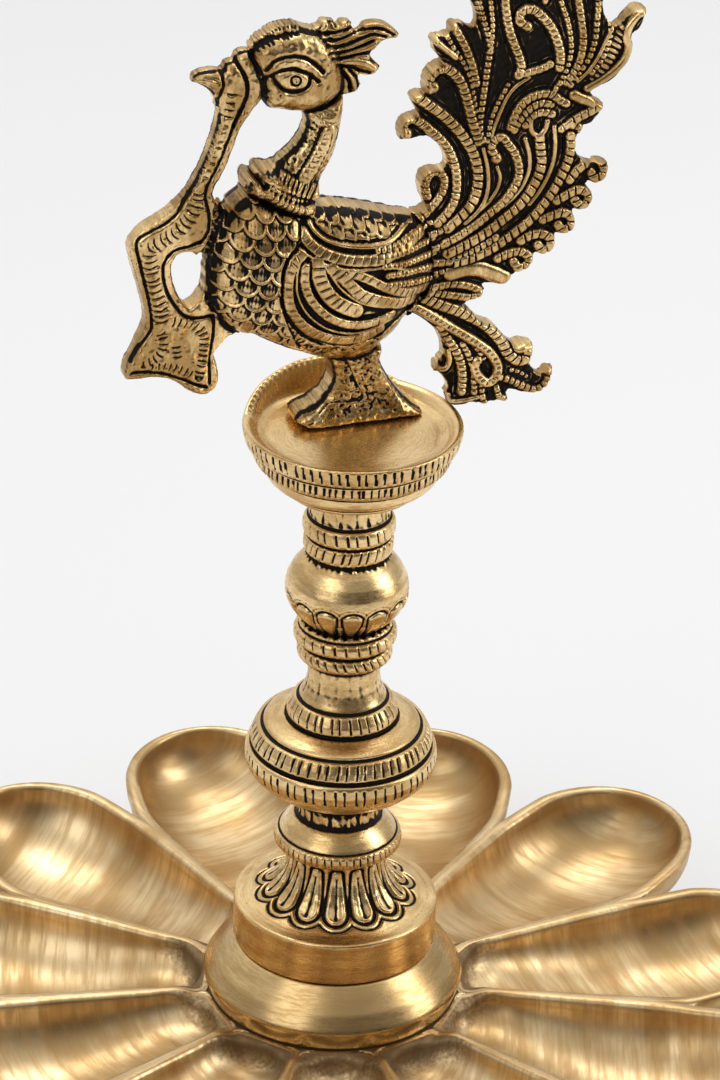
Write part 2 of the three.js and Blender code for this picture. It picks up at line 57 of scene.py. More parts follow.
# Directions to the right, up and back out of the picture, and the place of the lens in mm
def cameraAxes(c):
    az, el, roll = (math.radians(c[k]) for k in ("azimuth", "elevation", "roll"))
    level = np.array([math.cos(az), math.sin(az), 0])
    back = np.array([math.sin(az) * math.cos(el), -math.cos(az) * math.cos(el), math.sin(el)])
    up = np.cross(back, level)
    pictureRight = level * math.cos(roll) + up * math.sin(roll)
    pictureUp = up * math.cos(roll) - level * math.sin(roll)
    eye = level * c["aside"] + np.array([0, 0, c["height"]]) + back * c["away"]
    return pictureRight, pictureUp, back, eye


def makeCamera(c):
    pictureRight, pictureUp, back, eye = (axis.tolist() for axis in cameraAxes(c))
    data = bpy.data.cameras.new("photo_view")
    data.lens = c["lens"]
    data.sensor_fit = "VERTICAL"
    data.sensor_height = c["sensor"]
    data.clip_start = 0.05
    data.clip_end = 20
    cam = bpy.data.objects.new("photo_view", data)
    bpy.context.collection.objects.link(cam)
    turned = Matrix((pictureRight, pictureUp, back)).transposed().to_4x4()
    cam.matrix_world = Matrix.Translation(Vector(eye) * mm) @ turned
    bpy.context.scene.camera = cam


makeCamera(camera)

# Shader nodes


def newGroup(name, ins, outs):
    tree = bpy.data.node_groups.new(name, "ShaderNodeTree")
    for label, kind, value in ins:
        socket = tree.interface.new_socket(label, in_out="INPUT", socket_type=kind)
        socket.default_value = value
    for label, kind in outs:
        tree.interface.new_socket(label, in_out="OUTPUT", socket_type=kind)
    return tree, tree.nodes.new("NodeGroupInput"), tree.nodes.new("NodeGroupOutput")


def node(tree, kind, **settings):
    made = tree.nodes.new(kind)
    for key, value in settings.items():
        setattr(made, key, value)
    return made


def calc(tree, operation, a, b=0.5, clamp=False):
    made = node(tree, "ShaderNodeMath", operation=operation, use_clamp=clamp)
    for socket, value in zip(made.inputs, (a, b)):
        if isinstance(value, (int, float)):
            socket.default_value = value
        else:
            tree.links.new(value, socket)
    return made.outputs[0]


def mixColour(tree, factor, a, b, blend="MIX"):
    made = node(tree, "ShaderNodeMix", data_type="RGBA", blend_type=blend)
    for socket, value in ((made.inputs[0], factor), (made.inputs[6], a), (made.inputs[7], b)):
        if isinstance(value, (int, float, tuple)):
            socket.default_value = value
        else:
            tree.links.new(value, socket)
    return made.outputs[2]


def noise(tree, where, scale, detail=3.0, rough=0.55):
    made = node(tree, "ShaderNodeTexNoise")
    made.inputs["Scale"].default_value = scale
    made.inputs["Detail"].default_value = detail
    made.inputs["Roughness"].default_value = rough
    tree.links.new(where, made.inputs["Vector"])
    return made.outputs[0]


def ramp(tree, value, low, high, a=0.0, b=1.0):
    made = node(tree, "ShaderNodeMapRange", interpolation_type="SMOOTHSTEP")
    for socket, item in zip(made.inputs, (value, low, high, a, b)):
        if isinstance(item, (int, float)):
            socket.default_value = item
        else:
            tree.links.new(item, socket)
    return made.outputs[0]


# Brass with a brushed grain that runs along each piece, and dark patina where the cavity attribute says
def brassGroup():
    tree, ins, outs = newGroup("brass_surface", [
        ("Bright", "NodeSocketColor", (0.8, 0.6, 0.35, 1)),
        ("Deep", "NodeSocketColor", (0.5, 0.3, 0.12, 1)),
        ("Patina", "NodeSocketColor", (0.02, 0.014, 0.008, 1)),
        ("Patina Amount", "NodeSocketFloat", 1.0),
        ("Patina From", "NodeSocketFloat", 0.35),
        ("Mottle", "NodeSocketFloat", 0.5),
        ("Grain", "NodeSocketFloat", 0.5),
        ("Grain Density", "NodeSocketFloat", 1.0),
        ("Rough Low", "NodeSocketFloat", 0.2),
        ("Rough High", "NodeSocketFloat", 0.4),
    ], [
        ("Color", "NodeSocketColor"), ("Metallic", "NodeSocketFloat"),
        ("Roughness", "NodeSocketFloat"), ("Height", "NodeSocketFloat"),
    ])
    i = ins.outputs
    place = node(tree, "ShaderNodeTexCoord").outputs["Object"]
    grainAt = node(tree, "ShaderNodeAttribute", attribute_name="grain").outputs["Vector"]
    cavity = node(tree, "ShaderNodeAttribute", attribute_name="cavity").outputs["Fac"]
    stretch = node(tree, "ShaderNodeVectorMath", operation="SCALE")
    tree.links.new(grainAt, stretch.inputs[0])
    tree.links.new(i["Grain Density"], stretch.inputs["Scale"])
    streaks = noise(tree, stretch.outputs[0], 1.0, 5.0, 0.65)
    blotch = noise(tree, place, 45.0, 3.0)
    broad = noise(tree, stretch.outputs[0], 0.17, 4.0, 0.6)
    speck = noise(tree, place, 900.0, 3.0, 0.6)
    # patina: the cavity mask, broken up by fine noise
    broken = calc(tree, "ADD", cavity, calc(tree, "MULTIPLY", calc(tree, "SUBTRACT", speck, 0.5), 0.5))
    high = calc(tree, "ADD", i["Patina From"], 0.4)
    dark = calc(tree, "MULTIPLY", ramp(tree, broken, i["Patina From"], high), i["Patina Amount"], clamp=True)
    uneven = calc(tree, "ADD", ramp(tree, blotch, 0.35, 0.75), ramp(tree, broad, 0.42, 0.68), clamp=True)
    blend = calc(tree, "MULTIPLY", uneven, i["Mottle"], clamp=True)
    streak = calc(tree, "MULTIPLY", ramp(tree, streaks, 0.4, 0.64), i["Grain"], clamp=True)
    base = mixColour(tree, blend, i["Bright"], i["Deep"])
    base = mixColour(tree, calc(tree, "MULTIPLY", streak, 0.6), base, i["Deep"])
    # a cavity below 0 marks a face whose colour is lifted to the bright tone, a painted sheen
    # painted sheen: faces with a cavity below 0 are mixed toward the bright colour
    paintedSheen = calc(tree, "MULTIPLY", cavity, -2.0, clamp=True)
    base = mixColour(tree, paintedSheen, base, i["Bright"])
    tree.links.new(mixColour(tree, dark, base, i["Patina"]), outs.inputs["Color"])
    metal = calc(tree, "SUBTRACT", 1.0, calc(tree, "MULTIPLY", dark, 0.2))
    tree.links.new(metal, outs.inputs["Metallic"])
    wearAndSheen = calc(tree, "ADD", calc(tree, "MULTIPLY", streak, 0.5), calc(tree, "MULTIPLY", blotch, 0.5))
    rough = ramp(tree, wearAndSheen, 0.2, 0.8, i["Rough Low"], i["Rough High"])
    rough = calc(tree, "ADD", rough, calc(tree, "MULTIPLY", dark, 0.3), clamp=True)
    tree.links.new(rough, outs.inputs["Roughness"])
    height = calc(tree, "MULTIPLY", streaks, i["Grain"])
    height = calc(tree, "ADD", height, calc(tree, "MULTIPLY", speck, 0.25))
    tree.links.new(height, outs.inputs["Height"])
    return tree


brassTree = brassGroup()


def brass(name, look):
    material = bpy.data.materials.new(name)
    material.use_nodes = True
    tree = material.node_tree
    shader = tree.nodes["Principled BSDF"]
    surface = node(tree, "ShaderNodeGroup", node_tree=brassTree)
    for key, value in look["surface"].items():
        surface.inputs[key].default_value = value
    tree.links.new(surface.outputs["Color"], shader.inputs["Base Color"])
    tree.links.new(surface.outputs["Metallic"], shader.inputs["Metallic"])
    tree.links.new(surface.outputs["Roughness"], shader.inputs["Roughness"])
    bump = node(tree, "ShaderNodeBump")
    bump.inputs["Strength"].default_value = look["bump"]
    bump.inputs["Distance"].default_value = look["depth"] * mm
    tree.links.new(surface.outputs["Height"], bump.inputs["Height"])
    tree.links.new(bump.outputs[0], shader.inputs["Normal"])
    return material


# Bump strengths, and bump depths in mm
satin = brass("satin_brass", {
    "surface": {"Bright": (0.81, 0.63, 0.37, 1), "Deep": (0.44, 0.27, 0.105, 1),
                "Patina": (0.10, 0.055, 0.022, 1), "Patina Amount": 0.75, "Patina From": 0.4,
                "Mottle": 0.8, "Grain": 0.85, "Grain Density": 1.0, "Rough Low": 0.35, "Rough High": 0.5},
    "bump": 0.2, "depth": 0.12})
polished = brass("polished_brass", {
    "surface": {"Bright": (0.74, 0.535, 0.265, 1), "Deep": (0.45, 0.28, 0.10, 1),
                "Patina": (0.06, 0.03, 0.012, 1), "Patina Amount": 0.9, "Patina From": 0.4,
                "Mottle": 0.55, "Grain": 0.7, "Grain Density": 1.0, "Rough Low": 0.24,
                "Rough High": 0.38},
    "bump": 0.08, "depth": 0.06})
antique = brass("antique_brass", {
    "surface": {"Bright": (0.97, 0.72, 0.37, 1), "Deep": (0.50, 0.30, 0.105, 1),
                "Patina": (0.011, 0.007, 0.004, 1), "Patina Amount": 1.0, "Patina From": 0.2,
                "Mottle": 0.65, "Grain": 0.6, "Grain Density": 1.0, "Rough Low": 0.24,
                "Rough High": 0.42},
    "bump": 0.35, "depth": 0.2})
darkAntique = brass("dark_antique_brass", {
    "surface": {"Bright": (0.96, 0.69, 0.34, 1), "Deep": (0.36, 0.205, 0.062, 1),
                "Patina": (0.008, 0.005, 0.003, 1), "Patina Amount": 1.0, "Patina From": 0.13,
                "Mottle": 0.85, "Grain": 0.7, "Grain Density": 1.0, "Rough Low": 0.22, "Rough High": 0.4},
    "bump": 0.4, "depth": 0.2})
print("materials made")

# Mesh helpers


# Gaussian blur along one axis, sigma in steps of the grid
def blur(a, sigma, axis, wrap):
    radius = int(3 * sigma + 1)
    weights = np.exp(-0.5 * (np.arange(-radius, radius + 1) / sigma) ** 2)
    weights /= weights.sum()
    spare = [(0, 0)] * a.ndim
    spare[axis] = (radius, radius)
    padded = np.pad(a, spare, mode="wrap" if wrap else "edge")
    length = a.shape[axis]
    out = np.zeros_like(a)
    for k, w in enumerate(weights):
        out += w * np.take(padded, np.arange(k, k + length), axis=axis)
    return out


# Normals of a grid of points, whose columns close up when wrap is set
def gridNormals(points, wrap):
    down = np.gradient(points, axis=0)
    if wrap:
        across = (np.roll(points, -1, 1) - np.roll(points, 1, 1)) / 2
    else:
        across = np.gradient(points, axis=1)
    n = np.cross(across, down)
    return n / np.maximum(np.linalg.norm(n, axis=2, keepdims=True), 1e-12)


# Points in mm, faces as numbers of points, and the values at each point that the materials read
def makeMesh(name, points, quads, material, attributes):
    mesh = bpy.data.meshes.new(name)
    mesh.vertices.add(len(points))
    mesh.vertices.foreach_set("co", (np.asarray(points, float) * mm).astype(np.float32).ravel())
    quads = np.asarray(quads, np.int32)
    mesh.loops.add(quads.size)
    mesh.loops.foreach_set("vertex_index", quads.ravel())
    mesh.polygons.add(len(quads))
    mesh.polygons.foreach_set("loop_start", np.arange(0, quads.size, quads.shape[1], dtype=np.int32))
    mesh.update(calc_edges=True)
    mesh.polygons.foreach_set("use_smooth", [True] * len(quads))
    for key, values in attributes.items():
        values = np.asarray(values, np.float32)
        kind = "FLOAT" if values.ndim == 1 else "FLOAT_VECTOR"
        made = mesh.attributes.new(key, kind, "POINT")
        made.data.foreach_set("value" if kind == "FLOAT" else "vector", values.ravel())
    mesh.validate()
    mesh.materials.append(material)
    piece = bpy.data.objects.new(name, mesh)
    bpy.context.collection.objects.link(piece)
    return piece


# Faces of a grid of points
def gridQuads(rows, cols, wrap):
    r = np.arange(rows - 1)[:, None]
    c = np.arange(cols if wrap else cols - 1)[None, :]
    nextC = (c + 1) % cols
    a = r * cols + c
    b = r * cols + nextC
    return np.stack([a, b, b + cols, a + cols], -1).reshape(-1, 4)


# A turned piece: the profile is rounded a little, then carved along its normal by relief, which gets the
# angle round the piece and each row's height, radius and place along the profile. The grain runs round it.
# The grid is the number of steps round, the spacing along the profile and the rounding of its corners.
def turnedPiece(name, profile, material, grid, relief=None):
    steps, spacing, rounding = grid
    corners = np.array(profile, float)
    lengths = np.concatenate([[0], np.cumsum(np.linalg.norm(np.diff(corners, axis=0), axis=1))])
    rows = int(lengths[-1] / spacing) + 1
    along = np.linspace(0, lengths[-1], rows)
    line = np.stack([np.interp(along, lengths, corners[:, 0]), np.interp(along, lengths, corners[:, 1])], 1)
    soft = blur(line, rounding / spacing, 0, False)
    edge = np.minimum(along, lengths[-1] - along) < 3 * spacing
    soft[edge] = line[edge]
    line = soft
    angle = np.arange(steps) * turn / steps
    tangent = np.gradient(line, axis=0)
    tangent /= np.maximum(np.linalg.norm(tangent, axis=1, keepdims=True), 1e-9)
    outR, outZ = tangent[:, 1], -tangent[:, 0]
    carve = np.zeros((rows, steps))
    if relief:
        carve = relief(angle[None, :], line[:, 1][:, None], line[:, 0][:, None], along[:, None])
    grainRadius, grainRise = 8.0, 1.6
    radius = line[:, 0][:, None] + carve * outR[:, None]
    height = line[:, 1][:, None] + carve * outZ[:, None]
    points = np.stack([radius * np.cos(angle), radius * np.sin(angle), height + 0 * angle], 2)
    cavity = cavityOf(points, spacing, spacing, True)
    grain = np.stack(np.broadcast_arrays(np.cos(angle) * grainRadius, np.sin(angle) * grainRadius,
                                         along[:, None] * grainRise), 2)
    piece = makeMesh(name, points.reshape(-1, 3), gridQuads(rows, steps, True), material,
                     {"cavity": cavity.ravel(), "grain": grain.reshape(-1, 3)})
    return piece, points


# How far each point lies below its blurred surroundings: 0 on ridges, about 1 deep in a groove. A fine and
# a wide blur are taken, each with the depth in mm that counts as full.
def cavityOf(points, rowStep, colStep, wrap):
    n = gridNormals(points, wrap)
    total = np.zeros(points.shape[:2])
    for reach, full in ((0.6, 0.16), (1.6, 0.55)):
        smooth = blur(blur(points, reach / rowStep, 0, False), reach / colStep, 1, wrap)
        total += np.clip(((smooth - points) * n).sum(2) / full, -0.5, 1.2)
    return np.clip(total * 0.8 + 0.1, 0, 1.4)


# Irregular cuts round a ring: 1 in the middle of a cut, 0 between cuts
def cutsRound(count, width, seed, wobble, fade=0.35):
    rng = np.random.default_rng(seed)
    steps = 7200
    table = np.zeros(steps)
    fine = np.arange(steps) * turn / steps
    for k in range(count):
        middle = (k + rng.uniform(-wobble, wobble)) * turn / count
        depth = rng.uniform(1 - fade, 1)
        away = np.abs((fine - middle + math.pi) % turn - math.pi)
        half = width * turn / count / 2 * rng.uniform(0.8, 1.2)
        table = np.maximum(table, depth * np.clip(1 - (away / half) ** 2, 0, 1))
    return lambda angle: np.interp(angle % turn, fine, table, period=turn)


# 1 between two heights, 0 outside them
def band(z, low, high, soft=0.35):
    return np.clip((z - low) / soft, 0, 1) * np.clip((high - z) / soft, 0, 1)


# Rises smoothly from 0 at low to 1 at high
def easeIn(x, low, high):
    t = np.clip((x - low) / (high - low), 0, 1)
    return t * t * (3 - 2 * t)


# The slight waviness of a casting that was filed by hand
def wobbly(angle, z, seed, size):
    rng = np.random.default_rng(seed)
    out = 0
    for _ in range(5):
        k, m = rng.integers(1, 7), rng.uniform(0.05, 0.4)
        out = out + np.sin(k * angle + m * z + rng.uniform(0, turn)) * rng.uniform(0.3, 1)
    return out * size / 3


# Dish: one petal patch, swept from the bottom of its well over the rim and down the outside, and repeated
# round the hub. In mm: rises over the hub's seat, places along a petal from the lamp's axis, half widths,
# rims, depths and walls.
dish = {
    "petals": 11, "seat": 34.0, "ridgeRise": 2.0, "notchRise": 3.0, "tipRise": 7.0,
    "seatRadius": 36.5, "innerEnd": 46.5, "noseCentre": 100.0, "noseLength": 27.0, "noseHalf": 26.2,
    "notchRadius": 95.2, "ridge": 4.2, "notchRim": 3.8, "tipRim": 2.6, "innerDepth": 9.0, "depth": 17.0,
    "deepestAt": 88.0, "wall": 2.5, "edge": 1.3, "hubBottom": 24.3, "hubEdge": 33.0, "hubBore": 5.0,
    "hubUnder": 38.0, "hubSteps": 88,
    # points on the inner arc, the side and the nose of a petal's outline
    "outlineSteps": (16, 30, 24),
}


# Half of the angle between two petals, and where the notch lies along a petal
def petalSector(d):
    half = math.pi / d["petals"]
    return half, d["notchRadius"] * math.cos(half)


# Height of the rim at a radius: it climbs from the hub to the notch and rises to the tip
def rimHeight(d, r):
    tip = d["noseCentre"] + d["noseLength"]
    radii = [d["seatRadius"], d["seatRadius"] + 4, d["notchRadius"], d["notchRadius"] + 12, tip]
    rise = d["tipRise"] - d["notchRise"]
    rises = [0, d["ridgeRise"], d["notchRise"], d["notchRise"] + rise * 0.6, d["tipRise"]]
    fine = np.linspace(radii[0], tip, 400)
    soft = blur(np.interp(fine, radii, rises), 5, 0, False)
    return d["seat"] + np.interp(r, fine, soft)


def wellDepth(d, u):
    share = np.clip((u - d["innerEnd"]) / (d["deepestAt"] - d["innerEnd"]), 0, 1)
    return d["innerDepth"] + (d["depth"] - d["innerDepth"]) * np.sin(share * np.pi / 2)


# A petal's closed outline: round at the hub, straight to the notch, then an elliptical nose. The third
# column is the place on the petal's middle line that each point is joined to.
def petalOutline(d, inner, notch, noseHalf, noseLong):
    arc, side, nose = d["outlineSteps"]
    notchU = petalSector(d)[1]
    a = np.pi * (1 - 0.5 * np.arange(arc) / arc)
    u = d["innerEnd"] + inner * np.cos(a)
    part1 = np.stack([u, inner * np.sin(a), np.full(arc, d["innerEnd"])], 1)
    u = np.linspace(d["innerEnd"], notchU, side)
    share = (u - d["innerEnd"]) / (notchU - d["innerEnd"])
    # the side swells a little before it reaches the notch
    swell = 1 + 0.02 * np.sin(share * np.pi)
    part2 = np.stack([u, (inner + (notch - inner) * share) * swell, u], 1)
    b = np.pi / 2 * (1 - np.arange(nose) / nose)
    u = d["noseCentre"] + noseLong * np.cos(b)
    part3 = np.stack([u, noseHalf * np.sin(b), np.full(nose, d["noseCentre"])], 1)
    tip = np.array([[d["noseCentre"] + noseLong, 0, d["noseCentre"]]])
    one = np.concatenate([part1, part2, part3, tip])
    other = one[1:-1][::-1] * np.array([1, -1, 1])
    return np.concatenate([one, other])


# Edge of the well, edge of the outside, and the outside cut off where the petal meets its neighbours or the
# ring under the dome
def petalEdges(d):
    half, notchU = petalSector(d)
    innerHalf = d["innerEnd"] * math.tan(half)
    notchHalf = notchU * math.tan(half)
    well = petalOutline(d, innerHalf - d["ridge"] / 2, notchHalf - d["notchRim"],
                        d["noseHalf"] - d["notchRim"], d["noseLength"] - d["tipRim"])
    hull = petalOutline(d, innerHalf + 1.2, notchHalf + 0.3, d["noseHalf"], d["noseLength"])
    # the corners of the outlines are rounded off
    for line in (well, hull):
        line[:] = blur(line, 1.2, 0, True)
    spine = well[:, 2]
    away = np.abs(np.arctan2(hull[:, 1], hull[:, 0]))
    outer = hull[:, :2].copy()
    for k in range(len(well)):
        if away[k] > half or hull[k, 0] < d["innerEnd"]:
            start = np.array([spine[k], 0.0])
            step = (well[k, :2] - start) / max(np.linalg.norm(well[k, :2] - start), 1e-9)
            path = start + step * np.linspace(0, 60, 1200)[:, None]
            past = np.abs(np.arctan2(path[:, 1], path[:, 0])) >= half
            past |= np.hypot(path[:, 0], path[:, 1]) <= d["hubEdge"]
            outer[k] = path[int(np.argmax(past))]
    underDome = d["hubEdge"] + 1
    onSector = np.abs(np.abs(np.arctan2(outer[:, 1], outer[:, 0])) - half) < 0.004
    onSector |= np.hypot(outer[:, 0], outer[:, 1]) < underDome
    # exact sector line, so that neighbours meet
    for k in np.nonzero(onSector)[0]:
        r = np.hypot(*outer[k])
        if r > underDome:
            s = math.copysign(half, outer[k, 1])
            outer[k] = (r * math.cos(s), r * math.sin(s))
    return well, hull, outer, onSector


# One petal as rows of points: the well from its bottom up, the rim's two rounded halves, and the outside
# down to the underside. Also how many rows the well has, and the rows of the crest and of the outer edge.
def petalPatch(d):
    well, hull, outer, onSector = petalEdges(d)
    notchU = petalSector(d)[1]
    spine = well[:, 2]
    e = d["edge"]
    noseShare = easeIn(well[:, 0], notchU - 9, notchU)
    middle = well[:, :2] + (outer - well[:, :2]) * (1 - 0.5 * noseShare)[:, None]
    rows = []
    for s in np.concatenate([np.linspace(0, 0.7, 15), np.linspace(0.74, 0.96, 9), [0.98, 0.992, 1.0]]):
        x = spine + (well[:, 0] - spine) * s
        y = well[:, 1] * s
        bowl = np.sqrt(np.maximum(1 - s ** 2.3, 0))
        rows.append(np.stack([x, y, rimHeight(d, np.hypot(x, y)) - e - (wellDepth(d, spine) - e) * bowl], 1))
    wellRows = len(rows)
    for t in np.linspace(0, 1, 7)[1:]:
        xy = well[:, :2] + (middle - well[:, :2]) * t
        z = rimHeight(d, np.hypot(xy[:, 0], xy[:, 1])) - e * (1 - np.sqrt(max(1 - (1 - t) ** 2, 0)))
        rows.append(np.column_stack([xy, z]))
    crestRow = len(rows) - 1
    for t in np.linspace(0, 1, 7)[1:]:
        xy = middle + (outer - middle) * t
        z = rimHeight(d, np.hypot(xy[:, 0], xy[:, 1])) - e * noseShare * (1 - np.sqrt(max(1 - t ** 2, 0)))
        rows.append(np.column_stack([xy, z]))
    edgeRow = len(rows) - 1
    hullReach = np.hypot(hull[:, 0] - spine, hull[:, 1])
    outReach = np.hypot(outer[:, 0] - spine, outer[:, 1])
    for s in np.concatenate([[1.0, 0.985, 0.96], np.linspace(0.92, 0, 16)]):
        x = spine + (outer[:, 0] - spine) * s
        y = outer[:, 1] * s
        share = np.clip(outReach / hullReach * s, 0, 1)
        low = e * noseShare
        fall = low + (wellDepth(d, spine) + d["wall"] - low) * np.sqrt(np.maximum(1 - share ** 2.4, 0))
        rows.append(np.stack([x, y, rimHeight(d, np.hypot(x, y)) - fall], 1))
    return np.stack(rows), wellRows, crestRow, edgeRow, onSector


def makeDish(d):
    patch, wellRows, crestRow, edgeRow, onSector = petalPatch(d)
    total, count = patch.shape[:2]
    faces = gridQuads(total, count, True).reshape(total - 1, count, 4)
    # between two petals the crest is shared, so the wall under it is left out
    inside = onSector & np.roll(onSector, -1)
    keep = np.ones((total - 1, count), bool)
    keep[edgeRow, inside] = False
    flatQuads = faces[keep]
    flat = patch.reshape(-1, 3)
    u, v = flat[:, 0], flat[:, 1]
    # the wells are darker towards the hub's end, and the underside is darkened as painted shade
    share = np.concatenate([np.linspace(0, 1, wellRows), np.ones(total - wellRows)])
    low = np.repeat(share, count)
    nearHub = np.clip((64 - u) / 26, 0, 1) ** 1.3
    inWell = np.repeat(np.arange(total) < crestRow - 2, count)
    cavity = np.where(inWell, nearHub * (0.25 + 0.75 * low) * 0.8, nearHub * 0.35)
    # painted shade: the underside gets a darker value
    under = np.repeat(np.arange(total) > edgeRow + 2, count)
    cavity = np.where(under, 0.35, cavity)
    pts, quads, cav, grain = [], [], [], []
    rng = np.random.default_rng(4)
    for k in range(d["petals"]):
        a = math.pi / 2 + k * turn / d["petals"]
        x = u * math.cos(a) - v * math.sin(a)
        y = u * math.sin(a) + v * math.cos(a)
        pts.append(np.stack([x, y, flat[:, 2]], 1))
        quads.append(flatQuads + k * len(flat))
        cav.append(cavity * rng.uniform(0.8, 1.15))
        fan = v / np.maximum(u, 20) * 60
        # the wells are scoured in arcs, the crests and the underside along the petal
        arc = np.hypot(u - 15, v) * 0.5 + v * (0.1 + 0.02 * (k % 5))
        across = np.stack([arc + k * 17, fan * 0.07, flat[:, 2] * 0.05], 1)
        lengthwise = np.stack([u * 0.05 + k * 17, fan * 0.9, flat[:, 2] * 0.25], 1)
        grain.append(np.where(inWell[:, None], across, lengthwise))
    # the hub's disc, under the dome, darkened all over as painted shade
    ringR = [d["hubEdge"] + 0.5, d["hubBore"], d["hubBore"], d["hubUnder"]]
    ringZ = [d["seat"], d["seat"], d["hubBottom"], d["hubBottom"]]
    steps = d["hubSteps"]
    a = np.arange(steps) * turn / steps
    x, y, z = np.outer(ringR, np.cos(a)), np.outer(ringR, np.sin(a)), np.outer(ringZ, np.ones(steps))
    disc = np.stack([x, y, z], 2)
    start = sum(len(p) for p in pts)
    pts.append(disc.reshape(-1, 3))
    quads.append(gridQuads(4, steps, True) + start)
    # painted shade on the hub's disc under the dome
    cav.append(np.full(4 * steps, 0.9))
    grain.append(np.zeros((4 * steps, 3)))
    return makeMesh("lotus_dish_cast", np.concatenate(pts), np.concatenate(quads), satin,
                    {"cavity": np.concatenate(cav), "grain": np.concatenate(grain)})


# Joins the patches along their shared crests
def weld(piece, reach):
    bm = bmesh.new()
    bm.from_mesh(piece.data)
    bmesh.ops.remove_doubles(bm, verts=bm.verts, dist=reach * mm)
    bmesh.ops.recalc_face_normals(bm, faces=bm.faces)
    bm.to_mesh(piece.data)
    bm.free()
    return piece


lotus = weld(makeDish(dish), 0.02)
print("dish made:", len(lotus.data.vertices))

# Dome under the drum: smooth, with a soft crease at its widest. Heights are over its own bottom.
dome = {
    "profile": [(28.5, 9), (28.5, 0), (32.4, 0), (32.7, 0.4), (34.1, 4.6), (34.2, 5.3), (33.9, 6.2),
                (31.6, 9.8), (28.6, 13.2), (26.7, 15.2), (26.2, 15.8), (8, 15.8)],
    "wobble": 0.03, "grid": (192, 0.35, 0.35),
}
# Foot under the dish: hollow from below, heights over the table
foot = {
    "profile": [(5, 20), (29, 20), (30.3, 16), (33, 9), (40, 4.6), (49, 1.4), (49.2, 0.0), (51.8, 0.0),
                (52, 0.3), (52, 3.6), (51.5, 4.1), (42, 6.6), (36.5, 11.4), (33.4, 17), (32.2, 20),
                (31.5, 23.6), (31, 24), (5, 24)],
    "grid": (160, 0.5, 0.5),
}


def makeDome(d):
    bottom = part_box("hub_dome")[0].z / mm
    profile = [(r, bottom + z) for r, z in d["profile"]]

    def relief(angle, z, r, s):
        return wobbly(angle, z, 3, d["wobble"])

    return turnedPiece("hub_dome_turned", profile, polished, d["grid"], relief)[0]


def makeFoot(d):
    return turnedPiece("foot_turned", d["profile"], polished, d["grid"])[0]


hub = makeDome(dome)
footPiece = makeFoot(foot)
print("dome and foot made")

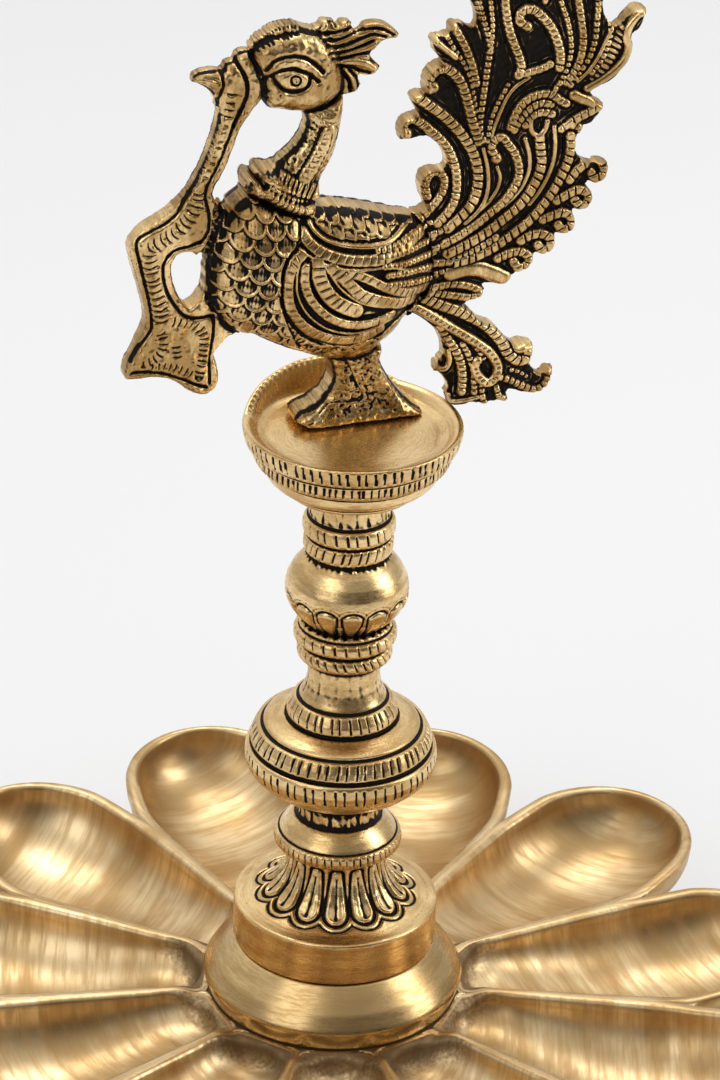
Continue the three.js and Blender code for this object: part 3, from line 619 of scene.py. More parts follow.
# Stem: heights are above the drum's top, and the neck ends the rise over it
stem = {
    "rise": 118.0, "grid": (420, 0.3, 0.2),
    # leaves of the skirt: how many, their turn in radians, the height they hang from, and measured down the
    # surface from there the tongue's start and length, its half width and swell, and the scallop's place and
    # radius
    "leaves": 14, "leafTurn": 0.1, "leafTop": 14.4, "leafStart": 2.0, "leafLength": 10.0, "leafHalf": 1.25,
    "leafSwell": 1.55, "scallopAt": 12.0, "scallopRadius": 5.3,
    # tongues on the bulb's lower half: how many, lowest and highest place, rounding, half width and swell
    "tongues": 14, "tongueLow": 82.6, "tongueTip": 91.6, "tongueRound": 2.4, "tongueHalf": 0.9,
    "tongueSwell": 1.55,
    # bands of cuts: from, to, how many, width, depth, seed, slant, unevenness
    "cuts": [
        (16.3, 20.0, 54, 0.38, 0.55, 21, 0.004, 0.16),
        (40.2, 45.2, 58, 0.3, 0.6, 22, 0.003, 0.2),
        (47.2, 51.3, 58, 0.32, 0.65, 23, -0.004, 0.16),
        (55.2, 59.7, 36, 0.3, 0.6, 24, 0.006, 0.22),
        (72.0, 75.3, 31, 0.34, 0.75, 25, 0.03, 0.16),
        (77.0, 80.6, 27, 0.3, 0.8, 26, 0.01, 0.16),
        (103.0, 106.8, 30, 0.36, 0.75, 27, -0.02, 0.16),
        (107.9, 111.8, 26, 0.3, 0.8, 28, 0.012, 0.16),
    ],
    # dark lines between the bands: height, depth, width
    "lines": [(15.5, 0.35, 0.3), (20.4, 0.3, 0.25), (46.45, 0.5, 0.32), (51.9, 0.55, 0.3), (54.7, 0.6, 0.3),
              (60.2, 0.45, 0.28), (75.9, 0.4, 0.3), (81.1, 0.3, 0.25), (82.7, 0.3, 0.3), (101.7, 0.3, 0.3),
              (107.2, 0.4, 0.3), (112.6, 0.3, 0.3)],
    # both necks are roughened by upright tool cuts, the throat a little: from, to, amount, fade
    "tooled": [(25.6, 30.4, 1.0, 1), (112.8, 118, 0.9, 1), (61, 71, 0.25, 2)],
    "drum": [(6, -8), (23.4, -8), (23.4, -12.1), (26.1, -12.1), (26.6, -11.6), (26.6, -0.8),
             (26.4, -0.25), (25.8, 0)],
    "skirt": [(24.2, 0.0), (22.6, 0.35), (20.2, 1.15), (17.6, 2.6), (15.6, 4.6), (14.2, 7.0), (13.2, 9.6),
              (12.6, 12.2), (12.3, 14.2), (12.5, 15.3)],
    "lowBulb": [(15.2, 15.9), (16.5, 16.9), (16.7, 18), (16.5, 19.5), (15.9, 20.3), (15.2, 20.6),
                (14.6, 21.4), (13.6, 22.7), (12.2, 24.2), (11.2, 25.0), (10.8, 25.6), (10.7, 29.0)],
    "belly": [(11.2, 30.3), (13.6, 31.9), (17.4, 34.1), (20.8, 36.3), (22.6, 38.0), (23.8, 39.4),
              (24.6, 41.0), (24.9, 42.8), (24.7, 45.0), (24.1, 46.2), (22.9, 46.6), (23.6, 47.3),
              (23.0, 49.2), (21.9, 51.3), (20.6, 51.8), (20.3, 52.3), (19.4, 52.9), (17.6, 53.6),
              (15.4, 54.2), (14.0, 54.7), (14.4, 55.3), (14.1, 57.2), (12.7, 59.6), (11.9, 60.1)],
    "throat": [(11.2, 60.6), (10.4, 62.0), (9.7, 63.8), (9.3, 66.0), (9.2, 70.6)],
    "collar": [(9.8, 71.6), (11.6, 71.9), (12.2, 72.6), (12.3, 74.0), (11.9, 75.1), (11.1, 75.6),
               (11.0, 76.5), (12.4, 76.9), (13.2, 77.6), (13.3, 79.4), (12.9, 80.4), (11.9, 80.9),
               (12.1, 81.6), (11.6, 82.2), (10.7, 82.6)],
    "bulb": [(11.6, 83.6), (13.4, 85.4), (14.9, 87.6), (15.8, 90.0), (15.9, 92.2), (15.4, 94.6),
             (14.2, 97.2), (12.4, 99.6), (11.0, 100.9), (10.3, 101.6)],
    "neck": [(10.4, 102.3), (11.2, 102.9), (11.5, 103.8), (11.5, 106.0), (11.1, 106.9), (10.6, 107.2),
             (11.3, 107.8), (11.8, 108.6), (11.8, 110.8), (11.4, 111.9), (10.6, 112.5), (10.3, 113.4),
             (10.2, 117.4), (10.4, 118.0), (6, 118.0)],
}
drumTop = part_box("stem")[1].z / mm - stem["rise"]


def stemRelief(angle, z, r, s):
    h = z - drumTop
    carve = wobbly(angle, z, 11, 0.07) * np.clip((h + 1) / 4, 0.15, 1)
    for low, high, count, width, depth, seed, slant, wobble in stem["cuts"]:
        notches = cutsRound(count, width, seed, wobble)(angle + slant * (h - low))
        carve = carve - depth * notches * band(h, low, high)
    for at, depth, width in stem["lines"]:
        carve = carve - depth * np.exp(-((h - at) / width) ** 2)
    rough = wobbly(angle * 5, z * 3, 31, 0.22) + cutsRound(17, 0.4, 32, 0.35, 0.9)(angle) * -0.45
    zones = [amount * band(h, low, high, fade) for low, high, amount, fade in stem["tooled"]]
    carve = carve + rough * sum(zones)
    ends = band(h, 81.2, 83.4, 0.5) + band(h, 100.6, 102.8, 0.5)
    carve = carve + wobbly(angle * 7, z * 4, 33, 0.3) * ends

    # lotus leaves of the skirt: a tongue with a groove round it, inside a scalloped line
    top = float(s[np.argmin(np.abs(h[:, 0] - stem["leafTop"])), 0])
    length = top - s
    pitch = turn / stem["leaves"]
    for shift in (-1, 0, 1):
        a = ((angle + stem["leafTurn"] + pitch / 2) % pitch - pitch / 2 + shift * pitch) * r
        t = np.clip((length - stem["leafStart"]) / stem["leafLength"], 0, 1)
        along = length - (stem["leafStart"] + stem["leafLength"] * t)
        away = np.hypot(a, along) - (stem["leafHalf"] + stem["leafSwell"] * t)
        groove = np.exp(-((away - 0.55) / 0.55) ** 2)
        carve = carve - groove * np.clip(length / 1.5, 0, 1) * (length > -1) * (h < 15.5)
        if shift == 0:
            rim = np.exp(-((away + 0.5) / 0.4) ** 2)
            vein = np.exp(-(a / 0.5) ** 2) * (away < -0.9) * (length > 3)
            carve = carve + 0.22 * rim * (length > 9) - 0.25 * vein
    a = ((angle + stem["leafTurn"] + pitch / 2) % pitch - pitch / 2) * r
    along = length - stem["scallopAt"]
    ring = np.minimum(np.hypot(a, along), np.hypot(np.abs(a) - pitch * r, along)) - stem["scallopRadius"]
    carve = carve - 0.65 * np.exp(-(ring / 0.38) ** 2) * (length > 12.5) * (h < 3)

    # carved tongues on the bulb's lower half
    pitch = turn / stem["tongues"]
    low = stem["tongueLow"]
    straight = stem["tongueTip"] - low - stem["tongueRound"]
    for shift in (-1, 0, 1):
        a = ((angle + pitch / 2) % pitch - pitch / 2 + shift * pitch) * r
        t = np.clip((h - low) / straight, 0, 1)
        along = (h - (low + straight * t)) * 1.25
        away = np.hypot(a, along) - (stem["tongueHalf"] + stem["tongueSwell"] * t)
        zone = band(h, low - 0.6, 94.5, 0.4)
        carve = carve - 0.75 * np.exp(-((away - 0.5) / 0.5) ** 2) * zone
        carve = carve - 0.35 * np.exp(-((away - 1.75) / 0.3) ** 2) * zone * (h > 86.5)
    return carve


def makeStem(s):
    profile = []
    for key in ("drum", "skirt", "lowBulb", "belly", "throat", "collar", "bulb", "neck"):
        profile += s[key]
    profile = [(r, drumTop + z) for r, z in profile]
    return turnedPiece("stem_carved", profile, antique, s["grid"], stemRelief)[0]


stemPiece = makeStem(stem)
print("stem made:", len(stemPiece.data.vertices))

# Drip cup: heights above its own foot. Its lip rises at the back: bearings in degrees, counted from the
# picture's right, which is lipTurn from the x axis, and the rise there.
cup = {
    "grid": (420, 0.28, 0.22), "inside": 16.2, "insideRadius": 26.2,
    # where the rim begins to lift into the lip: heights and radii
    "lipHeights": (16.9, 19.5), "lipRadii": (22.0, 25.5),
    # bands of cuts on the outside: from, to, how many, width, depth, seed, slant, unevenness
    "cuts": [(15.0, 19.4, 74, 0.34, 1.0, 42, 0.004, 0.22), (10.2, 13.6, 92, 0.44, 0.9, 43, 0.0, 0.2)],
    # lines on the outside: height, depth, width
    "lines": [(14.2, 0.5, 0.35), (9.0, 0.4, 0.3), (3.6, 0.3, 0.25)],
    "profile": [(4.6, 2), (4.6, 0), (10.2, 0), (10.9, 0.7), (12.6, 1.5), (15.6, 2.1), (17.4, 2.6),
                (17.9, 3.4), (18.6, 4.3), (20.6, 5.3), (21.6, 6.2), (21.9, 7.4), (22.1, 8.4), (22.3, 9.1),
                (23.6, 9.8), (24.7, 10.6), (25.2, 11.8), (25.1, 13.2), (25.2, 13.9), (26.1, 14.5),
                (26.9, 15.3), (27.4, 17.0), (27.7, 18.9), (27.6, 19.5), (27.2, 19.8), (26.4, 19.7),
                (25.6, 19.2), (24.9, 18.4), (23.9, 17.5), (21.8, 16.95), (18, 16.75), (12, 16.7),
                (6, 16.7), (0.2, 16.7)],
    "lip": [(66, 0), (77, 1.6), (92, 4.0), (107, 6.0), (125, 5.6), (140, 4.4), (153, 3.3), (166, 1.6),
            (176, 0)],
    "lipTurn": -19.95,
    # the lip's inner face leans outward by this share of the rise, and a coarse file left ribs on it: how
    # many round the whole circle, and their depth
    "lean": 0.1, "ribs": 92, "ribDepth": 0.35,
}
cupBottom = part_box("drip_cup")[0].z / mm


def makeCup(c):
    profile = [(r, cupBottom + z) for r, z in c["profile"]]

    def relief(angle, z, r, s):
        h = z - cupBottom
        outside = s < s[np.argmax(r[:, 0]), 0] + 1.5
        carve = wobbly(angle, z, 41, 0.1) * (h > 1)
        for low, high, count, width, depth, seed, slant, wobble in c["cuts"]:
            notches = cutsRound(count, width, seed, wobble)(angle + slant * h)
            carve = carve - depth * notches * band(h, low, high, 0.4) * outside
        for at, depth, width in c["lines"]:
            carve = carve - depth * np.exp(-((h - at) / width) ** 2) * outside
        return carve

    piece, points = turnedPiece("drip_cup_carved", profile, antique, c["grid"], relief)
    # the inside is painted bright, a painted sheen, least in its corners
    inside = points[..., 2] > cupBottom + c["inside"]
    inside &= np.hypot(points[..., 0], points[..., 1]) < c["insideRadius"]
    wearAndSheen = piece.data.attributes["cavity"]
    values = np.empty(len(piece.data.vertices), np.float32)
    wearAndSheen.data.foreach_get("value", values)
    # the cavity values inside the cup are set below 0: the painted sheen
    values[inside.ravel()] = np.minimum(values[inside.ravel()] * 0.5, 0.3) - 0.4
    wearAndSheen.data.foreach_set("value", values)
    return piece


# Lifts the rim at the back of the cup into its lip
def raiseLip(piece, c):
    lip = np.array(c["lip"], float)
    mesh = piece.data
    co = np.empty(len(mesh.vertices) * 3, np.float32)
    mesh.vertices.foreach_get("co", co)
    p = co.reshape(-1, 3) / mm
    bearing = (np.degrees(np.arctan2(p[:, 1], p[:, 0])) - c["lipTurn"]) % 360
    rise = np.interp(bearing, lip[:, 0], lip[:, 1], left=0, right=0)
    radius = np.hypot(p[:, 0], p[:, 1])
    low, high = c["lipHeights"]
    share = easeIn(p[:, 2], cupBottom + low, cupBottom + high) * easeIn(radius, *c["lipRadii"])
    p[:, 2] += rise * share
    rib = np.abs(np.sin(np.radians(bearing) * c["ribs"] / 2)) * c["ribDepth"]
    lean = share * rise * c["lean"] - rib * share * (rise > 0.4) * (radius < 26.6)
    p[:, 0] -= p[:, 0] / np.maximum(radius, 1) * lean
    p[:, 1] -= p[:, 1] / np.maximum(radius, 1) * lean
    mesh.vertices.foreach_set("co", (p * mm).astype(np.float32).ravel())
    mesh.update()


cupPiece = makeCup(cup)
raiseLip(cupPiece, cup)
print("cup made:", len(cupPiece.data.vertices))

# Bird: one flat casting. Outlines and middle lines of its relief are places read on the photograph's 720 by
# 1080 picture. Sight lines through the camera carry them to the casting. Widths and depths are in
# mm. Its faces are cells of one upright grid, which stands in the middle of its thickness.
bird = {
    "middle": 10.0, "cell": 0.22, "left": -58.0, "right": 75.6, "low": 197.0, "high": 337.4, "rounding": 0.9,
    # where it hangs over the cup's rim, between overCup's two places, the casting stays above cupClear
    "overCup": (20, 28.5), "cupClear": 201.0, "seat": 197.9,
    # fillets between the forms and in the web between strand and breast, and the least half thickness
    "seamFillet": 0.35, "webFillet": 1.3, "thinnest": 0.6,
    # patina, fine and wide: how far round a place is looked, the depth that counts as full, least and weight
    "patina": ((0.45, 0.14, -0.5, 0.65), (1.4, 0.45, -0.4, 0.75)),
    # cuts round the edge of a form: reach, depth, spacing (0 for one groove) and where they run
    "notches": {
        "head": [(3.4, 0.6, 1.2, [(249, 45), (256, 36.5), (264, 31), (273, 26), (282, 23.5), (292, 22.5),
                                  (303, 25)])],
        "collar": [(9.0, 0.7, 1.7, [(240, 176), (258, 175), (280, 188), (300, 198), (318, 200)]),
                   (2.0, 2.2, 0, [(232, 174), (246, 178), (262, 183), (280, 193), (300, 200), (322, 199)])],
    },
    # each form: half thickness at its edge and in full, how far in from the outline it is reached, and the
    # half depth between the front and back edge that the picture shows
    "forms": {
        "tail": (1.7, 2.2, 1.5, 2.6), "plume": (1.7, 2.2, 1.5, 2.4), "strand": (2.6, 3.4, 1.3, 3.0),
        "bridge": (1.6, 2.8, 2.5, 2.0), "crest": (1.2, 2.2, 2.0, 1.6), "beak": (1.0, 3.8, 3.6, 1.4),
        "head": (0.9, 6.6, 6.0, 1.8), "neck": (1.6, 5.4, 5.2, 1.6), "collar": (1.6, 8.4, 3.6, 1.8),
        "body": (2.0, 12.4, 16.0, 1.8), "leg": (3.2, 5.6, 2.6, 1.6),
    },
}
# Outlines of the forms, in the picture
birdOutlines = {
    "tail": [(404, 312), (412, 300), (414, 280), (412, 258), (408, 240), (405, 222), (408, 208),
             (417, 204), (421, 199), (417, 189), (415, 177), (418, 168), (427, 163.5), (436, 163),
             (441, 156), (440, 147), (435, 141), (429, 138), (421, 138.5), (412, 141), (404, 141),
             (398, 137), (395, 129), (396, 120), (400, 114), (407, 111), (413, 108), (412, 103),
             (409, 97), (408, 91), (413, 88), (419, 86), (420, 80), (421, 72), (426, 64), (433, 59),
             (438, 56.5), (436, 53), (431, 47), (429, 40), (428, 34), (432, 30), (440, 29), (444, 26),
             (446, 20), (450, 16.5), (456, 17), (463, 20.5), (469, 20), (471, 12), (470, 2), (465, -8),
             (462, -18), (465, -30), (474, -36), (485, -36), (487, -47), (483, -58), (488, -70),
             (499, -74), (507, -84), (510, -102), (521, -114), (535, -112), (548, -130), (560, -114),
             (571, -106), (583, -102), (589, -92), (588, -80), (592, -70), (602, -64), (606, -52),
             (601, -40), (604, -28), (612, -18), (611, -8), (605, 2), (605, 14), (608, 20), (614, 17),
             (621, 10), (630, 3), (640, 2), (646, 10), (646, 20), (642, 30), (635, 34), (633, 40),
             (634, 50), (630, 62), (622, 72), (612, 82), (600, 88), (593, 91), (592, 95), (598, 98),
             (603, 104), (602, 112), (597, 120), (592, 125), (585, 127), (580, 133), (577, 143),
             (576, 152), (581, 156), (597, 155), (605, 158), (608, 167), (606, 177), (597, 184),
             (590, 182), (587, 186), (590, 191), (592, 200), (588, 208), (574, 211), (573, 216),
             (575, 222), (573, 230), (568, 234), (557, 234), (556, 240), (555, 247), (550, 253),
             (543, 255), (536, 254), (534, 259), (531, 265), (525, 270), (518, 273), (512, 278),
             (505, 284), (496, 285), (484, 285), (485, 292), (480, 298), (470, 301), (464, 306),
             (440, 312)],
    "plume": [(404, 313), (412, 314), (420, 317), (429, 323), (435, 329), (438, 339), (438, 347),
              (433, 354), (430, 363), (434, 371), (441, 374), (443, 381), (438, 388), (434, 394),
              (440, 402), (452, 406), (463, 407), (470, 404), (476, 404), (480, 409), (488, 413),
              (497, 414), (505, 412), (509, 406), (508, 399), (508, 392), (515, 391), (525, 393.5),
              (535, 394), (544, 390), (550, 381), (553, 370), (550, 363), (546, 361), (540, 365),
              (534, 367), (530, 365), (532, 356), (533, 347), (530, 340), (525, 336), (517, 336),
              (510, 338.5), (503, 334), (495, 325), (486, 318), (475, 314), (468, 307), (460, 300),
              (440, 292), (415, 290), (404, 300)],
    "strand": [(238, 70), (247, 82), (249, 95), (254, 102), (255, 109), (250, 117), (244, 125),
               (240, 134), (236, 145), (231, 158), (226, 170), (221, 180), (216, 188), (214, 197),
               (217, 205), (224, 214), (222, 240), (214, 256), (200, 254), (199, 262), (200, 272),
               (206, 290), (214, 305), (226, 322), (238, 330), (230, 337), (221, 346), (215, 355),
               (217, 366), (219, 377), (218, 386), (212, 393), (203, 396), (190, 391), (175, 382),
               (155, 379), (132, 381), (124, 376), (120, 367), (121, 356), (130, 337), (139, 318),
               (140, 304), (135, 282), (129, 262), (125, 246), (125, 236), (135, 223), (155, 210),
               (170, 198), (187, 176), (200, 150), (210, 120), (213, 96), (209, 88), (215, 75)],
    "hole": [(177, 256), (184, 253), (194, 253), (199, 259), (199, 272), (198, 280), (193, 291),
             (182, 299), (176, 292), (172, 280), (172, 265)],
    "bridge": [(214, 198), (226, 208), (240, 214), (240, 300), (238, 330), (226, 334), (212, 318),
               (203, 298), (199, 275), (202, 252)],
    "beak": [(189, 76), (191, 71), (199, 67), (211, 65), (219, 65), (222, 59), (229, 56), (232, 51),
             (238, 46.5), (246, 47), (256, 60), (266, 80), (261, 99), (252, 108), (240, 110), (222, 108),
             (213, 104), (212, 96), (208, 89), (199, 84), (191, 81)],
    "head": [(246, 46), (248, 38), (254, 32), (262, 27), (271, 22), (281, 19.5), (292, 18.5), (300, 21),
             (309, 24), (319, 27), (330, 38), (338, 55), (341, 72), (341, 86), (334, 96), (324, 103),
             (312, 108), (298, 110.5), (281, 109), (269, 107), (261, 99), (258, 92), (252, 70)],
    "crest": [(310, 26), (316, 21), (319, 16.5), (326, 15.5), (332, 18), (334, 22), (338, 17.5),
              (345, 16.5), (351, 22), (352, 27), (357, 24), (362, 20), (370, 18), (380, 19), (389, 24),
              (396, 30), (399, 35), (396, 39), (388, 39.5), (381, 43), (376, 49), (371, 56), (375, 61),
              (380, 66), (379, 71), (374, 75), (367, 76), (360, 75), (359, 80), (361, 86), (358, 91),
              (352, 94), (344, 95), (336, 90), (330, 70), (322, 45)],
    "neck": [(301, 104), (302, 113), (300, 124), (295, 134), (288, 143), (279, 151), (269, 160),
             (261, 168), (262, 184), (300, 206), (314, 196), (320, 176), (329, 160), (335, 145),
             (339, 128), (342, 110), (343, 97), (341, 88), (322, 96)],
    "collar": [(243, 170), (250, 166), (258, 162), (268, 163), (282, 172), (298, 180), (311, 181),
               (317, 187), (316, 195), (313, 203), (310, 211), (301, 214), (287, 211), (270, 205),
               (254, 195), (243, 187), (239, 179)],
    "body": [(250, 186), (238, 190), (226, 202), (217, 218), (210, 236), (206, 254), (205, 272),
             (207, 290), (213, 306), (223, 319), (237, 329), (252, 332), (268, 339), (284, 345),
             (302, 350), (322, 355), (345, 355), (364, 349), (378, 338), (391, 328), (400, 317),
             (405, 311), (418, 298), (430, 280), (432, 255), (425, 228), (412, 209), (402, 207.5),
             (386, 206), (368, 203), (348, 200), (328, 198), (312, 198)],
    "leg": [(322, 345), (326, 357), (327, 370), (321, 383), (308, 396), (292, 405), (289, 414),
            (300, 421), (310, 427), (345, 420), (423, 409), (420, 402), (408, 396), (396, 386),
            (385, 372), (378, 358), (376, 338)],
}
